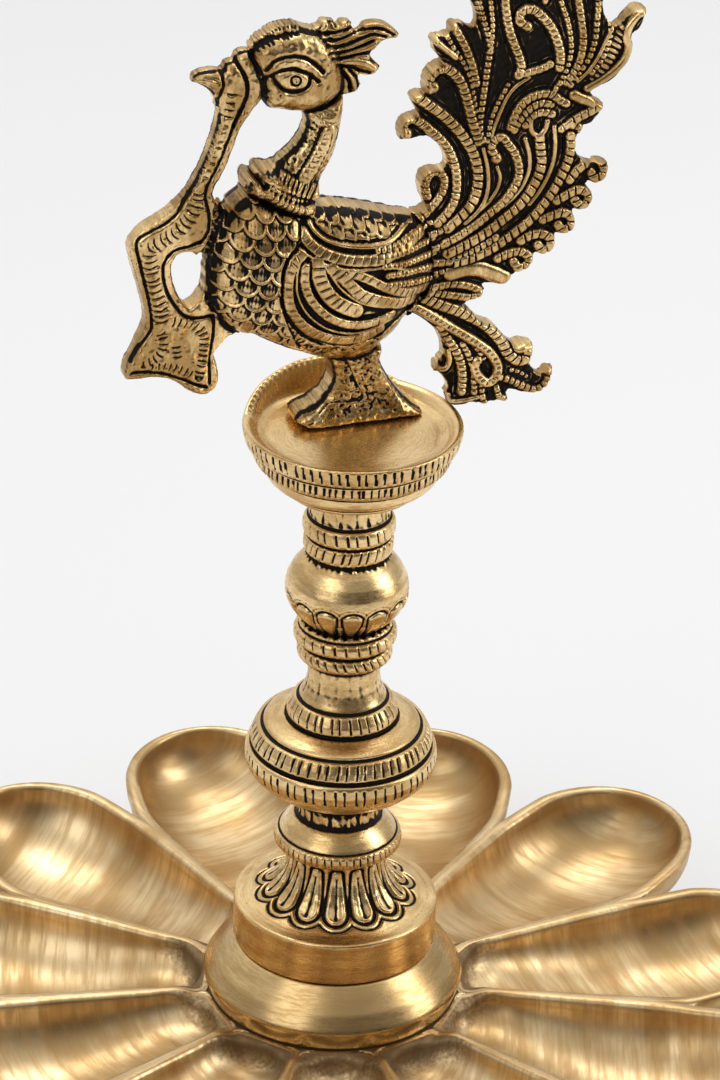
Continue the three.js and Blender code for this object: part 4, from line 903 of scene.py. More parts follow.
# Relief lines: kind, half width, height over the ground, then the middle line
birdLines = {
    # the strokes of tail and plume come out wider than their lines by this
    "wider": {"rope": 1.45, "blocks": 1.45, "beads": 1.2, "ribs": 1.2, "pitted": 1.2, "plain": 1.2},
    "tail": [
        ("rope", 1.0, 1.5, [(430, 90), (429, 84), (431, 77), (437, 71), (445, 69), (453, 73), (461, 82),
                            (466, 95), (470, 110), (474, 126), (479, 142)]),
        ("blocks", 1.05, 1.5, [(411, 95), (418, 98), (430, 106), (445, 117), (458, 130), (467, 142),
                               (474, 155), (478, 170), (478, 185), (474, 200), (465, 213), (448, 229)]),
        ("rope", 0.95, 1.5, [(404, 131), (404, 124), (412, 119), (421, 123), (431, 131), (441, 140),
                             (449, 150), (454, 162), (457, 175), (457, 190), (455, 201), (449, 212),
                             (438, 224)]),
        ("rope", 0.85, 1.4, [(428, 197), (426, 184), (432, 173), (440, 173), (445, 181), (443, 192),
                             (436, 203), (426, 214), (416, 224)]),
        ("ribs", 0.8, 1.5, [(474, -25), (479, 0), (484, 20), (488, 34), (491, 48)]),
        ("ribs", 0.7, 1.4, [(488, -25), (491, 0), (493, 20), (493, 34), (492, 48)]),
        ("ribs", 1.8, 0.8, [(592, 87), (602, 72), (611, 56), (620, 40), (632, 22)]),
        ("plain", 0.5, 1.2, [(578, 82), (590, 70), (600, 55), (608, 38), (618, 22)]),
        ("beads", 0.85, 1.3, [(491, 52), (489, 64), (487, 78), (485, 92), (483, 106), (481, 120),
                              (481, 134), (484, 141)]),
        ("beads", 0.6, 1.1, [(509, 86), (501, 100), (494, 115), (490, 130), (488, 144)]),
        ("plain", 0.5, 1.0, [(530, 78), (517, 87), (508, 98), (501, 113), (495, 128), (491, 142)]),
        ("rope", 0.9, 1.5, [(506, -18), (506, 5), (510, 30), (515, 45), (520, 58), (522, 68), (519, 76)]),
        ("rope", 0.8, 1.3, [(522, 75), (533, 72), (543, 69), (551, 65)]),
        ("rope", 0.95, 1.6, [(527, 26), (520, 21), (523, 12), (533, 10), (543, 17), (552, 28), (558, 42),
                             (561, 56), (560, 68)]),
        ("beads", 0.7, 1.3, [(556, -40), (558, -18), (562, 2), (568, 20), (571, 35), (572, 50), (569, 65),
                             (563, 80), (556, 90)]),
        ("rope", 0.8, 1.4, [(568, -60), (574, -30), (579, 0), (582, 20), (584, 40), (582, 55), (577, 68),
                            (567, 83)]),
        ("beads", 0.8, 1.4, [(584, -62), (594, -30), (599, 0), (598, 20), (596, 40), (590, 58), (582, 70),
                             (571, 86)]),
        ("plain", 1.0, 1.5, [(641, 12), (636, 18), (630, 27), (627, 38), (629, 48), (625, 60), (615, 71),
                             (603, 80), (588, 89)]),
        ("beads", 0.8, 1.2, [(612, 24), (611, 36), (607, 50), (600, 64), (590, 76)]),
        ("rope", 0.85, 1.4, [(511, 128), (517, 113), (527, 101), (540, 95), (552, 95), (561, 101),
                             (567, 104)]),
        ("rope", 0.8, 1.2, [(515, 131), (521, 120), (530, 110), (541, 104), (552, 105)]),
        ("rope", 0.8, 1.2, [(526, 126), (533, 117), (543, 113), (553, 115)]),
        ("plain", 0.7, 1.3, [(531, 122), (532, 131), (538, 136), (545, 131), (548, 122)]),
        ("blocks", 1.0, 1.6, [(540, 138), (541, 150), (542, 162), (539, 175), (533, 187), (526, 198),
                              (517, 208), (504, 219), (489, 231), (470, 243), (448, 254)]),
        ("rope", 0.9, 1.5, [(497, 157), (492, 149), (496, 140), (503, 138), (509, 145), (515, 153),
                            (519, 165), (519, 177), (515, 187), (509, 196), (501, 205), (490, 214),
                            (478, 224), (463, 234), (446, 244)]),
        ("plain", 1.3, 1.4, [(575, 96), (584, 100), (593, 103)]),
        ("blocks", 0.9, 1.4, [(600, 107), (590, 112), (579, 118), (570, 124)]),
        ("rope", 0.8, 1.3, [(562, 130), (568, 126), (578, 127), (582, 132)]),
        ("blocks", 0.95, 1.6, [(571, 136), (571, 150), (568, 162), (563, 173), (558, 183), (552, 193),
                               (545, 203), (537, 213), (527, 223), (517, 231), (505, 240), (492, 249),
                               (473, 258), (452, 264)]),
        ("blocks", 0.95, 1.5, [(570, 180), (577, 171), (587, 163), (598, 159), (604, 166), (603, 175),
                               (596, 179), (592, 174)]),
        ("blocks", 0.95, 1.5, [(557, 201), (567, 195), (579, 190), (588, 194), (588, 202), (581, 206),
                               (576, 201)]),
        ("blocks", 0.95, 1.5, [(543, 220), (552, 216), (563, 213), (571, 217), (571, 226), (563, 230),
                               (558, 225)]),
        ("blocks", 0.95, 1.5, [(521, 241), (530, 236), (541, 234), (550, 238), (550, 246), (543, 250),
                               (538, 245)]),
        ("rope", 0.95, 1.5, [(498, 259), (509, 254), (520, 252), (529, 257), (527, 265), (519, 268),
                             (514, 262)]),
        ("plain", 1.9, 1.5, [(452, 274), (466, 270), (480, 270), (493, 274), (504, 279)]),
        ("rope", 0.8, 1.3, [(410, 283), (432, 288), (450, 285), (465, 286), (478, 290), (479, 295),
                            (470, 298), (452, 296), (430, 293)]),
        ("beads", 0.7, 1.2, [(408, 272), (425, 276), (445, 272), (460, 265)]),
        ("rope", 0.8, 1.3, [(408, 262), (425, 264), (445, 263), (462, 256), (480, 248), (496, 238)]),
        ("rope", 0.7, 1.2, [(412, 252), (428, 252), (444, 246), (460, 238), (474, 228)]),
        ("rope", 0.8, 1.2, [(412, 240), (426, 238), (440, 232), (452, 223)]),
        ("beads", 0.7, 1.2, [(412, 228), (422, 228), (434, 222)]),
        ("plain", 0.6, 1.0, [(484, 150), (488, 168), (489, 185), (486, 200), (478, 213), (466, 224)]),
        ("plain", 0.5, 0.9, [(498, 168), (501, 178), (498, 190), (490, 202), (480, 212)]),
        ("plain", 0.6, 1.0, [(526, 140), (530, 155), (530, 170), (524, 185), (515, 197), (503, 208)]),
        ("plain", 0.6, 1.0, [(555, 128), (556, 145), (554, 162), (548, 178), (540, 192), (530, 205)]),
        ("beads", 0.6, 1.0, [(446, 32), (452, 45), (462, 60), (470, 76), (474, 94), (477, 112)]),
        ("plain", 0.8, 1.3, [(434, 40), (444, 48), (456, 58)]),
        ("rope", 0.8, 1.3, [(452, 24), (460, 36), (467, 50), (473, 66), (477, 84)]),
        ("rope", 0.85, 1.4, [(532, -92), (526, -70), (518, -50), (514, -28), (516, -5)]),
        ("rope", 0.85, 1.4, [(548, -108), (544, -80), (538, -55), (534, -30), (534, -8)]),
        ("beads", 0.8, 1.4, [(566, -90), (560, -75), (555, -60), (549, -42), (546, -20), (546, 2)]),
        ("plain", 1.1, 1.4, [(476, -28), (488, -24), (496, -12)]),
        ("rope", 0.9, 1.4, [(492, -64), (500, -54), (504, -40), (503, -24)]),
        ("plain", 1.2, 1.4, [(578, -92), (576, -76), (574, -62)]),
        ("plain", 1.2, 1.4, [(596, -58), (592, -46), (588, -32)]),
    ],
    "plume": [
        ("pitted", 1.25, 1.7, [(410, 305), (426, 313), (444, 324), (462, 334), (480, 345), (491, 354),
                               (498, 366), (496, 377), (488, 383), (480, 378), (475, 369), (477, 362)]),
        ("blocks", 1.1, 1.5, [(425, 299), (442, 306), (457, 311), (470, 317), (482, 323), (493, 332),
                              (502, 343), (509, 355), (519, 361), (527, 358), (529, 350)]),
        ("beads", 0.9, 1.4, [(501, 378), (511, 381), (522, 386), (533, 390), (543, 387), (549, 378),
                             (549, 369), (543, 370)]),
        ("beads", 0.8, 1.3, [(482, 386), (483, 396), (486, 405), (495, 409), (503, 406), (506, 400),
                             (500, 397), (497, 388)]),
        ("plain", 0.75, 1.3, [(438, 328), (440, 341), (435, 351), (434, 361), (439, 369), (446, 369),
                              (450, 361), (448, 352)]),
        ("rope", 0.95, 1.4, [(441, 330), (449, 341), (456, 351), (461, 363), (463, 378), (462, 392)]),
        ("rope", 0.7, 1.0, [(463, 345), (470, 358), (474, 374), (475, 393)]),
        ("plain", 0.6, 1.0, [(438, 398), (452, 402), (466, 401), (478, 398)]),
        ("rope", 0.7, 1.1, [(425, 309), (443, 320), (462, 333), (476, 346), (484, 358)]),
        ("beads", 0.5, 0.9, [(512, 371), (520, 373), (527, 377)]),
    ],
    # relief lines on the rounded parts
    "body": [
        ("ribs", 0.8, 0.9, [(378, 250), (396, 245), (413, 234), (427, 222)]),
        ("ribs", 0.8, 0.9, [(382, 258), (400, 254), (418, 246), (433, 237)]),
        ("ribs", 0.8, 0.9, [(385, 267), (404, 264), (422, 257), (438, 250)]),
        ("ribs", 0.8, 0.9, [(388, 276), (406, 273), (424, 268), (440, 262)]),
        ("ribs", 0.8, 0.9, [(390, 285), (408, 283), (425, 279), (438, 274)]),
        ("plain", 0.75, 0.75, [(309, 221), (315, 230), (325, 238), (338, 243), (352, 245.5), (368, 246),
                               (384, 243), (397, 234), (405, 222), (409, 212)]),
        ("blocks", 1.5, 0.6, [(303, 233), (310, 243), (320, 251), (334, 257), (350, 260.5), (366, 261),
                              (382, 259), (397, 252), (409, 243), (421, 231)]),
        ("plain", 0.4, 0.5, [(300, 249), (314, 259), (330, 266), (348, 270), (366, 270), (384, 268),
                             (402, 269), (420, 271), (436, 270)]),
        ("blocks", 1.3, 0.55, [(352, 273), (362, 277), (372, 281), (384, 287), (396, 291), (408, 292),
                               (422, 288), (432, 281)]),
        ("blocks", 1.6, 0.55, [(332, 269), (341, 276), (350, 285), (360, 294), (372, 299), (386, 302),
                               (400, 303), (411, 299)]),
        ("blocks", 2.0, 0.6, [(317, 264), (319, 276), (324, 288), (332, 299), (343, 306), (356, 311)]),
        ("blocks", 1.25, 0.55, [(306, 268), (305, 282), (309, 296), (318, 308), (330, 318), (346, 324),
                                (362, 325), (378, 321), (392, 314)]),
        ("plain", 0.35, 0.5, [(300, 262), (297, 276), (297, 292), (302, 306), (311, 318), (325, 328),
                              (343, 333), (362, 332), (378, 326), (392, 318)]),
        ("blocks", 1.45, 0.6, [(302, 255), (294, 264), (289, 278), (288, 294), (291, 310), (300, 323),
                               (314, 333), (332, 339), (350, 340), (366, 336), (380, 328)]),
        ("plain", 0.35, 0.5, [(322, 262), (330, 274), (340, 288), (352, 298), (364, 304), (380, 307),
                              (396, 307)]),
        ("ribs", 2.0, 1.3, [(254, 170), (266, 174), (281, 181), (296, 187), (308, 190), (315, 193)]),
        ("ribs", 2.0, 1.3, [(246, 181), (258, 188), (272, 196), (286, 203), (298, 208), (308, 209)]),
        ("plain", 2.4, 1.4, [(247, 171), (248, 175)]),
        ("rope", 2.2, 0.7, [(330, 134), (325, 146), (318, 159), (311, 171), (305, 181)]),
        ("plain", 1.5, 0.8, [(249, 45), (253, 38), (261, 32.5), (270, 28.5), (281, 25.5), (293, 24.5),
                             (305, 27), (316, 31)]),
        ("plain", 2.0, 0.5, [(288, 82), (296, 81), (303, 81)]),
        ("plain", 1.1, 0.6, [(323, 21), (324, 26), (320, 32)]),
        ("plain", 1.1, 0.6, [(344, 22), (342, 28), (334, 34)]),
        ("plain", 1.2, 0.6, [(334, 42), (350, 35), (366, 26), (380, 24), (392, 32)]),
        ("plain", 0.9, 0.5, [(334, 49), (350, 46), (364, 40), (378, 36), (388, 37)]),
        ("plain", 0.9, 0.5, [(336, 56), (350, 53), (364, 49), (374, 44)]),
        ("plain", 0.9, 0.5, [(340, 63), (354, 62), (366, 64), (375, 68)]),
        ("plain", 0.8, 0.5, [(344, 70), (352, 78), (355, 87)]),
    ],
    # cuts: half width, depth, middle line
    "cuts": [
        (0.5, 0.9, [(301, 218), (300, 232), (297, 246), (289, 257), (284, 271), (282, 290), (283, 308),
                    (291, 322), (304, 336), (322, 345)]),
        (0.3, 0.6, [(311, 262), (311, 280), (316, 296), (326, 308), (340, 317), (356, 319), (374, 316)]),
        (0.35, 0.7, [(314, 224), (322, 233), (334, 239), (350, 241), (368, 241), (384, 238), (396, 229),
                     (403, 217)]),
        (0.35, 0.8, [(252, 178), (266, 184), (282, 191), (298, 198), (312, 201)]),
        (0.35, 0.8, [(243, 188), (256, 197), (272, 206), (288, 213), (302, 217), (312, 214)]),
        (0.35, 0.5, [(323, 128), (316, 144), (308, 160), (300, 172), (297, 182)]),
        (0.3, 0.4, [(332, 134), (329, 148), (322, 162), (316, 174), (309, 184)]),
        (0.55, 1.0, [(251, 55), (257, 47), (266, 41.5), (276, 37.5), (288, 34), (300, 32.5), (311, 33),
                     (321, 38), (329, 47)]),
        (0.25, 0.7, [(260, 31),
                     (264, 36)]), (0.25, 0.7, [(268, 27),
                                                          (272, 32)]), (0.25, 0.7, [(275, 24),
                                                                                               (279, 29)]),
        (0.25, 0.7, [(282, 22),
                     (286, 27)]), (0.25, 0.7, [(289, 21),
                                                          (293, 26)]), (0.25, 0.7, [(296, 21),
                                                                                               (299, 26)]),
        (0.6, 1.0, [(267, 72), (272, 66), (279, 61), (288, 58), (298, 57.5), (308, 60), (317, 66),
                    (324, 73)]),
        (0.55, 1.0, [(266, 80), (274, 76), (282, 72), (292, 70), (302, 72), (311, 76), (319, 82)]),
        (0.55, 1.0, [(274, 78), (278, 85), (285, 91), (294, 93), (303, 91), (309, 86), (311, 79)]),
        (0.36, 0.9, [(296, 76.5), (300, 78), (300.5, 82), (298, 85.5), (294, 85.5), (291.5, 82),
                     (292, 78), (296, 76.5)]),
        (0.4, 0.6, [(250, 56), (255, 63), (261, 71), (265, 79), (266, 92), (264, 104)]),
        (0.45, 0.8, [(219, 64), (221, 71), (223, 79), (224, 87), (221, 95), (218, 103)]),
        (0.55, 1.1, [(232, 53), (236, 61), (241, 69), (246, 78), (248, 88), (247, 98), (243, 108),
                     (238, 118), (234, 127)]),
        (0.25, 0.4, [(206, 79), (213, 80), (220, 83)]),
        (0.4, 0.8, [(221, 116), (218, 128), (214, 140), (209, 154), (204, 168), (197, 182), (190, 195)]),
        (0.4, 0.8, [(234, 127), (229, 140), (224, 153), (218, 167), (211, 180), (207, 189), (206, 200),
                    (209, 212), (210, 222), (208, 234), (201, 243)]),
        (0.45, 0.9, [(190, 195), (183, 206), (176, 216), (165, 225), (150, 233), (139, 241), (137, 250),
                     (140, 262), (144, 280), (148, 296), (151, 312), (152, 328), (147, 338), (138, 350),
                     (131, 362)]),
        (0.4, 0.9, [(201, 243), (190, 247), (178, 250), (170, 256), (164, 266), (164, 280), (168, 294),
                    (175, 306), (184, 316), (196, 319), (212, 316)]),
        (0.4, 0.8, [(213, 316), (214, 330), (212, 345), (210, 360), (210, 374), (210, 384)]),
        (0.4, 0.9, [(132, 374), (148, 373), (165, 375), (182, 380), (198, 386), (207, 388)]),
        (0.45, 1.2, [(320, 34), (333, 33), (345, 30), (353, 28)]),
        (0.45, 1.2, [(326, 42), (340, 39), (355, 33), (368, 29), (382, 29), (394, 35)]),
        (0.45, 1.2, [(328, 48), (345, 46), (360, 40), (374, 35), (386, 37)]),
        (0.45, 1.2, [(330, 55), (345, 52), (360, 47), (373, 41)]),
        (0.45, 1.2, [(333, 60), (347, 57), (362, 54), (372, 53)]),
        (0.45, 1.2, [(338, 66), (350, 67), (360, 71), (370, 73)]),
        (0.45, 1.2, [(341, 70), (349, 80), (351, 92)]),
        (0.45, 1.2, [(350, 70), (357, 79), (359, 88)]),
    ],
    # rows of short cuts across a middle line: half width, depth, spacing
    "ladders": [
        (1.2, 0.7, 1.15, [(250, 44), (256, 36.5), (264, 31), (273, 26), (282, 23.5), (292, 22.5),
                          (301, 25)]),
        (2.2, 0.3, 1.3, [(331, 108), (328, 122), (322, 138), (315, 154), (308, 172)]),
        (1.5, 0.45, 2.0, [(232, 92), (230, 106), (227, 118), (223, 132), (218, 146), (213, 158),
                          (207, 171), (201, 184)]),
        (2.3, 0.5, 1.7, [(199, 192), (196, 206), (188, 220), (175, 233), (160, 243), (150, 252),
                         (150, 266), (153, 282), (157, 298), (160, 312), (160, 326)]),
        (1.4, 0.5, 1.5, [(160, 332), (164, 344), (158, 357), (144, 366)]),
        (1.5, 0.5, 1.5, [(172, 322), (184, 323), (196, 326), (204, 336), (204, 350), (202, 364),
                         (199, 377)]),
        (1.2, 0.5, 1.5, [(150, 368), (165, 367), (180, 370), (192, 375)]),
        (1.3, 0.4, 1.4, [(176, 345), (178, 360)]),
    ],
    # pits: place, size, depth
    "pits": [((296, 81), 0.3, 0.5), ((269, 92), 0.7, 0.6), ((281, 96), 0.35, 0.5), ((278, 100), 0.3, 0.4),
             ((268, 98), 0.5, 0.5)],
    # areas of the body, for the scales and the ground
    "regions": {
        "breast": [(222, 204), (240, 190), (262, 194), (288, 214), (300, 219), (298, 244), (285, 260),
                   (281, 290), (285, 318), (300, 338), (320, 351), (285, 345), (252, 332), (237, 328),
                   (222, 318), (211, 300), (206, 272), (209, 240)],
        "back": [(318, 200), (345, 203), (375, 206), (402, 209), (407, 213), (402, 226), (392, 236),
                 (380, 240), (352, 241), (332, 236), (318, 226), (310, 214)],
        "wing": [(303, 217), (312, 228), (330, 240), (352, 243), (384, 241), (398, 232), (408, 212),
                 (424, 226), (431, 250), (430, 285), (412, 304), (404, 312), (392, 324), (376, 338),
                 (350, 346), (322, 343), (300, 330), (287, 314), (283, 290), (286, 270), (294, 254),
                 (302, 240)],
        "belly": [(285, 318), (300, 334), (322, 344), (350, 346), (378, 338), (366, 350), (345, 355),
                  (322, 355), (300, 350)],
        "neckFront": [(302, 112), (300, 124), (295, 134), (288, 143), (279, 151), (268, 160), (262, 168),
                      (298, 182), (304, 168), (314, 146), (322, 128), (318, 110)],
        "collar": [(243, 170), (258, 162), (282, 172), (311, 181), (317, 187), (313, 203), (301, 214),
                   (270, 205), (243, 187)],
        "legSide": [(322, 350), (346, 350), (351, 368), (357, 383), (364, 398), (352, 404), (330, 404),
                    (318, 420), (308, 426), (288, 412), (300, 398), (318, 384), (326, 368)],
        "legFront": [(346, 350), (376, 340), (380, 362), (392, 382), (408, 396), (422, 408), (345, 420),
                     (318, 424), (330, 405), (366, 400), (357, 383), (351, 368)],
        "bridge": [(216, 204), (224, 214), (215, 240), (209, 268), (211, 300), (222, 320), (214, 316),
                   (204, 296), (199, 275), (202, 252), (210, 236)],
    },
    # scales: pitch, row spacing, leaning in degrees, lift
    "scales": {"breast": (5.2, 3.8, 8, 1.35), "back": (3.6, 2.9, -38, 1.3)},
    # ground that is dropped and roughened: drop, fine roughness, coarse roughness
    "ground": {"wing": (0.65, 0.02, 0.0), "belly": (0.1, 0.15, 0.1), "neckFront": (0.12, 0.12, 0.1),
               "collar": (0.7, 0.05, 0.0), "legSide": (0.4, 0.08, 0.1), "legFront": (0.05, 0.09, 0.03),
               "bridge": (0.3, 0.2, 0.1)},
    # scroll ends: place, radius
    "spots": [((434, 88), 1.7), ((407, 134), 1.6), ((497, 159), 1.6), ((641, 11), 1.9),
              ((528, 27), 1.5), ((521, 346), 2.4), ((478, 361), 1.5), ((440, 33), 1.5),
              ((455, 21), 1.5)],
    "spotHeight": 1.9,
    # the raised line along both sides of each stroke: height, how far beside it, width
    "beside": (0.42, 0.85, 0.24),
}


pictureRight, pictureUp, back, eye = cameraAxes(camera)
pictureWidth, pictureHeight = camera["picture"]
pixelsPerUnit = camera["lens"] / camera["sensor"] * pictureHeight


# Where the sight line through a place on the picture meets the depth y
def toDepth(uv, y):
    uv = np.asarray(uv, float)
    sideways = np.outer(uv[:, 0] - pictureWidth / 2, pictureRight)
    upward = np.outer(pictureHeight / 2 - uv[:, 1], pictureUp)
    ray = (sideways + upward) / pixelsPerUnit - back
    t = (y - eye[1]) / ray[:, 1]
    return eye[0] + ray[:, 0] * t, eye[2] + ray[:, 2] * t


# A smooth curve through the points
def flowing(points, closed=False, step=1.5):
    p = np.array(points, float)
    if closed:
        p = np.vstack([p[-1], p, p[0], p[1]])
    else:
        p = np.vstack([2 * p[0] - p[1], p, 2 * p[-1] - p[-2]])
    out = []
    for a, b, c, d in zip(p, p[1:], p[2:], p[3:]):
        count = max(int(np.linalg.norm(c - b) / step), 2)
        t = (np.arange(count) / count)[:, None]
        bend = (2 * a - 5 * b + 4 * c - d) * t ** 2
        twist = (3 * b - a - 3 * c + d) * t ** 3
        out.append(0.5 * (2 * b + (c - a) * t + bend + twist))
    if not closed:
        out.append(p[-2][None])
    return np.concatenate(out)


cell = bird["cell"]
gridX, gridZ = np.meshgrid(np.arange(bird["left"], bird["right"], cell),
                           np.arange(bird["low"], bird["high"], cell))
gridRows, gridCols = gridX.shape


# Distance from a line on the grid, with the place along it and across it
def trace(xs, zs, reach, closed=False):
    far = np.full(gridX.shape, float(reach))
    along = np.zeros(gridX.shape)
    side = np.zeros(gridX.shape)
    total = 0.0
    count = len(xs)
    for k in range(count if closed else count - 1):
        ax, az, bx, bz = xs[k], zs[k], xs[(k + 1) % count], zs[(k + 1) % count]
        length = max(math.hypot(bx - ax, bz - az), 1e-6)
        dx, dz = (bx - ax) / length, (bz - az) / length
        c0 = max(int((min(ax, bx) - reach - bird["left"]) / cell), 0)
        c1 = int((max(ax, bx) + reach - bird["left"]) / cell) + 2
        r0 = max(int((min(az, bz) - reach - bird["low"]) / cell), 0)
        r1 = int((max(az, bz) + reach - bird["low"]) / cell) + 2
        window = (slice(r0, max(r1, r0)), slice(c0, max(c1, c0)))
        gx, gz = gridX[window] - ax, gridZ[window] - az
        t = np.clip(gx * dx + gz * dz, 0, length)
        ox, oz = gx - t * dx, gz - t * dz
        away = np.hypot(ox, oz)
        near = away < far[window]
        far[window][near] = away[near]
        along[window][near] = total + t[near]
        side[window][near] = (ox * dz - oz * dx)[near]
        total += length
    return far, along, side


# Which places of the grid lie inside a closed outline
def insideOf(xs, zs):
    mask = np.zeros(gridX.shape, bool)
    heights = gridZ[:, 0]
    for ax, az, bx, bz in zip(xs, zs, np.roll(xs, -1), np.roll(zs, -1)):
        rows = np.nonzero((heights >= min(az, bz)) & (heights < max(az, bz)))[0]
        if len(rows):
            cross = ax + (heights[rows] - az) / (bz - az) * (bx - ax)
            mask[rows] ^= gridX[rows] < cross[:, None]
    return mask


# A closed outline. Where it faces down or right, the picture shows the front face's edge, and where it faces
# up or left the back face's, so each point is carried to its own depth.
def outlineDistance(points, half, reach):
    uv = flowing(points, True)
    along = np.roll(uv, -1, 0) - np.roll(uv, 1, 0)
    area = (uv[:, 0] * np.roll(uv[:, 1], -1) - np.roll(uv[:, 0], -1) * uv[:, 1]).sum()
    outward = np.stack([along[:, 1], -along[:, 0]], 1) * (1 if area > 0 else -1)
    outward /= np.maximum(np.linalg.norm(outward, axis=1, keepdims=True), 1e-9)
    downRight = np.array([0.61, 0.79])
    toFront = outward @ downRight
    y = bird["middle"] - half * np.clip(toFront * 1.5, -1, 1)
    xs, zs = toDepth(uv, y)
    inside = insideOf(xs, zs)
    far = trace(xs, zs, reach, True)[0]
    return np.where(inside, far, -far)


# Half thickness of a form that swells from its edge
def swelling(inside, low, full, reach):
    t = np.clip(inside / reach, 0, 1)
    return np.where(inside > 0, low + (full - low) * np.sqrt(1 - (1 - t) ** 2), -9)


# Uneven cuts across a line: 1 in the middle of a cut, 0 between cuts
def cutsAlong(along, side, period, slant, sharp, seed):
    rng = np.random.default_rng(seed)
    most = 400
    table = rng.uniform(0.55, 1.0, most)
    shift = rng.uniform(-0.12, 0.12, most)
    phase = along / period + slant * side
    k = np.floor(phase).astype(int) % most
    away = np.abs(phase - np.floor(phase) - 0.5 - shift[k])
    return table[k] * np.exp(-(away / sharp) ** 2)


# How far inside its outline each place lies, for every form and for all together, and the half thickness
def traceForms():
    solid = np.full(gridX.shape, -9.0)
    base = np.full(gridX.shape, -9.0)
    forms = {}
    for name, (low, full, reach, half) in bird["forms"].items():
        forms[name] = outlineDistance(birdOutlines[name], half, max(reach, 3.0))
        for wide, depth, period, points in bird["notches"].get(name, []):
            xs, zs = toDepth(flowing(points), bird["middle"] - 0.6 * full)
            far, along, side = trace(xs, zs, wide)
            cut = cutsAlong(along, side, period, 0.04, 0.17, 7) if period else np.exp(-(far / 0.45) ** 2)
            forms[name] = forms[name] - depth * cut * (far < wide)
        height = swelling(forms[name], low, full, reach)
        if name == "body":
            # it thins towards the tail
            height = np.where(height > 0, height * (1 - 0.66 * easeIn(gridX, 6, 30)), height)
        if name == "leg":
            # it spreads into its foot plate
            flare = np.clip((206 - gridZ) / 6, 0, 1)
            height = np.where(height > 0, height + 1.3 * flare * flare, height)
        solid = np.maximum(solid, forms[name])
        base = np.maximum(base, height)
    # the hole's walls are seen the other way round
    hole = outlineDistance(birdOutlines["hole"], -3.0, 3.0)
    solid = np.minimum(solid, -hole)
    rimStart, rimEnd = bird["overCup"]
    overRim = (gridX > rimStart) & (gridX < rimEnd)
    solid = np.minimum(solid, np.where(overRim, gridZ - bird["cupClear"], gridZ - bird["low"] - 0.3))
    solid = np.minimum(solid, np.where(gridX < rimStart, gridZ - bird["seat"], 9))
    solid = np.minimum(solid, bird["high"] - 0.5 - gridZ)
    return forms, solid, base


forms, solid, base = traceForms()
print("bird forms traced")


# A relief line, carried from the picture to the surface that the forms give
def toSurface(uv, lift=0.0):
    y = np.full(len(uv), bird["middle"] - 3.0)
    for _ in range(5):
        xs, zs = toDepth(uv, y)
        c = np.clip(((xs - bird["left"]) / cell).round().astype(int), 0, gridCols - 1)
        r = np.clip(((zs - bird["low"]) / cell).round().astype(int), 0, gridRows - 1)
        y = bird["middle"] - np.maximum(base[r, c], 2.0) - lift
    return xs, zs


# Cross section and notches of each kind of relief line
def lineRelief(kind, half, height, far, along, side, seed):
    t = np.clip(far / half, 0, 1)
    crown = height * (1 - t ** 2.4) ** 0.5
    if kind == "rope":
        crown = height * (1 - t ** 3.4) ** 0.5
        crown = crown - 0.42 * height * cutsAlong(along, side, 1.65, 0.12, 0.16, seed) * (1 - t ** 6)
    elif kind == "blocks":
        crown = height * (1 - t ** 5) ** 0.5
        crown = crown - 0.65 * height * cutsAlong(along, side, 2.1, 0.1, 0.1, seed) * (1 - t ** 6)
    elif kind == "ribs":
        crown = crown - 0.75 * height * cutsAlong(along, side, 1.5, 0.05, 0.2, seed)
    elif kind == "beads":
        crown = crown * (1 - 0.75 * cutsAlong(along, side, 1.7, 0.0, 0.2, seed))
    elif kind == "pitted":
        crown = crown - 0.5 * cutsAlong(along, side, 1.5, 0.0, 0.16, seed) * (np.abs(side) < 0.35 * half)
    return np.where(far < half, crown, -9)


# Which places of the grid lie in an area drawn on the surface
def regionOf(points):
    xs, zs = toSurface(flowing(points, True))
    return insideOf(xs, zs)


# Scales like roof tiles: each lies on the row below it and has a raised rim
def overlappingScales(pitch, row, leaning, lift):
    a = math.radians(leaning)
    p = (gridX * math.cos(a) - gridZ * math.sin(a)) / pitch
    q = -(gridX * math.sin(a) + gridZ * math.cos(a)) / row
    out = np.full(gridX.shape, -0.4)
    free = np.ones(gridX.shape, bool)
    radius = 0.61 * pitch
    for k in (-1, 0, 1):
        line = np.floor(q) + k
        shift = 0.5 * (line % 2)
        across = (p - shift - np.round(p - shift)) * pitch
        down = (q - line) * row
        t = np.hypot(across, down) / radius
        height = lift * (0.28 + 0.45 * np.clip(down / radius, 0, 1) - 0.3 * (across / radius) ** 2)
        height = height + 0.42 * lift * np.exp(-((t - 0.79) / 0.1) ** 2)
        height = height - 0.02 * lift * np.cos(7.5 * across) * (t < 0.7)
        height = height - 1.3 * np.clip((t - 0.87) / 0.13, 0, 1)
        hit = free & (t < 1)
        out[hit] = height[hit]
        free &= ~hit
    return out


# Unevenness of a given grain size
def rough(size, seed):
    rng = np.random.default_rng(seed)
    field = blur(blur(rng.standard_normal(gridX.shape), size / cell, 0, False), size / cell, 1, False)
    return field / field.std()


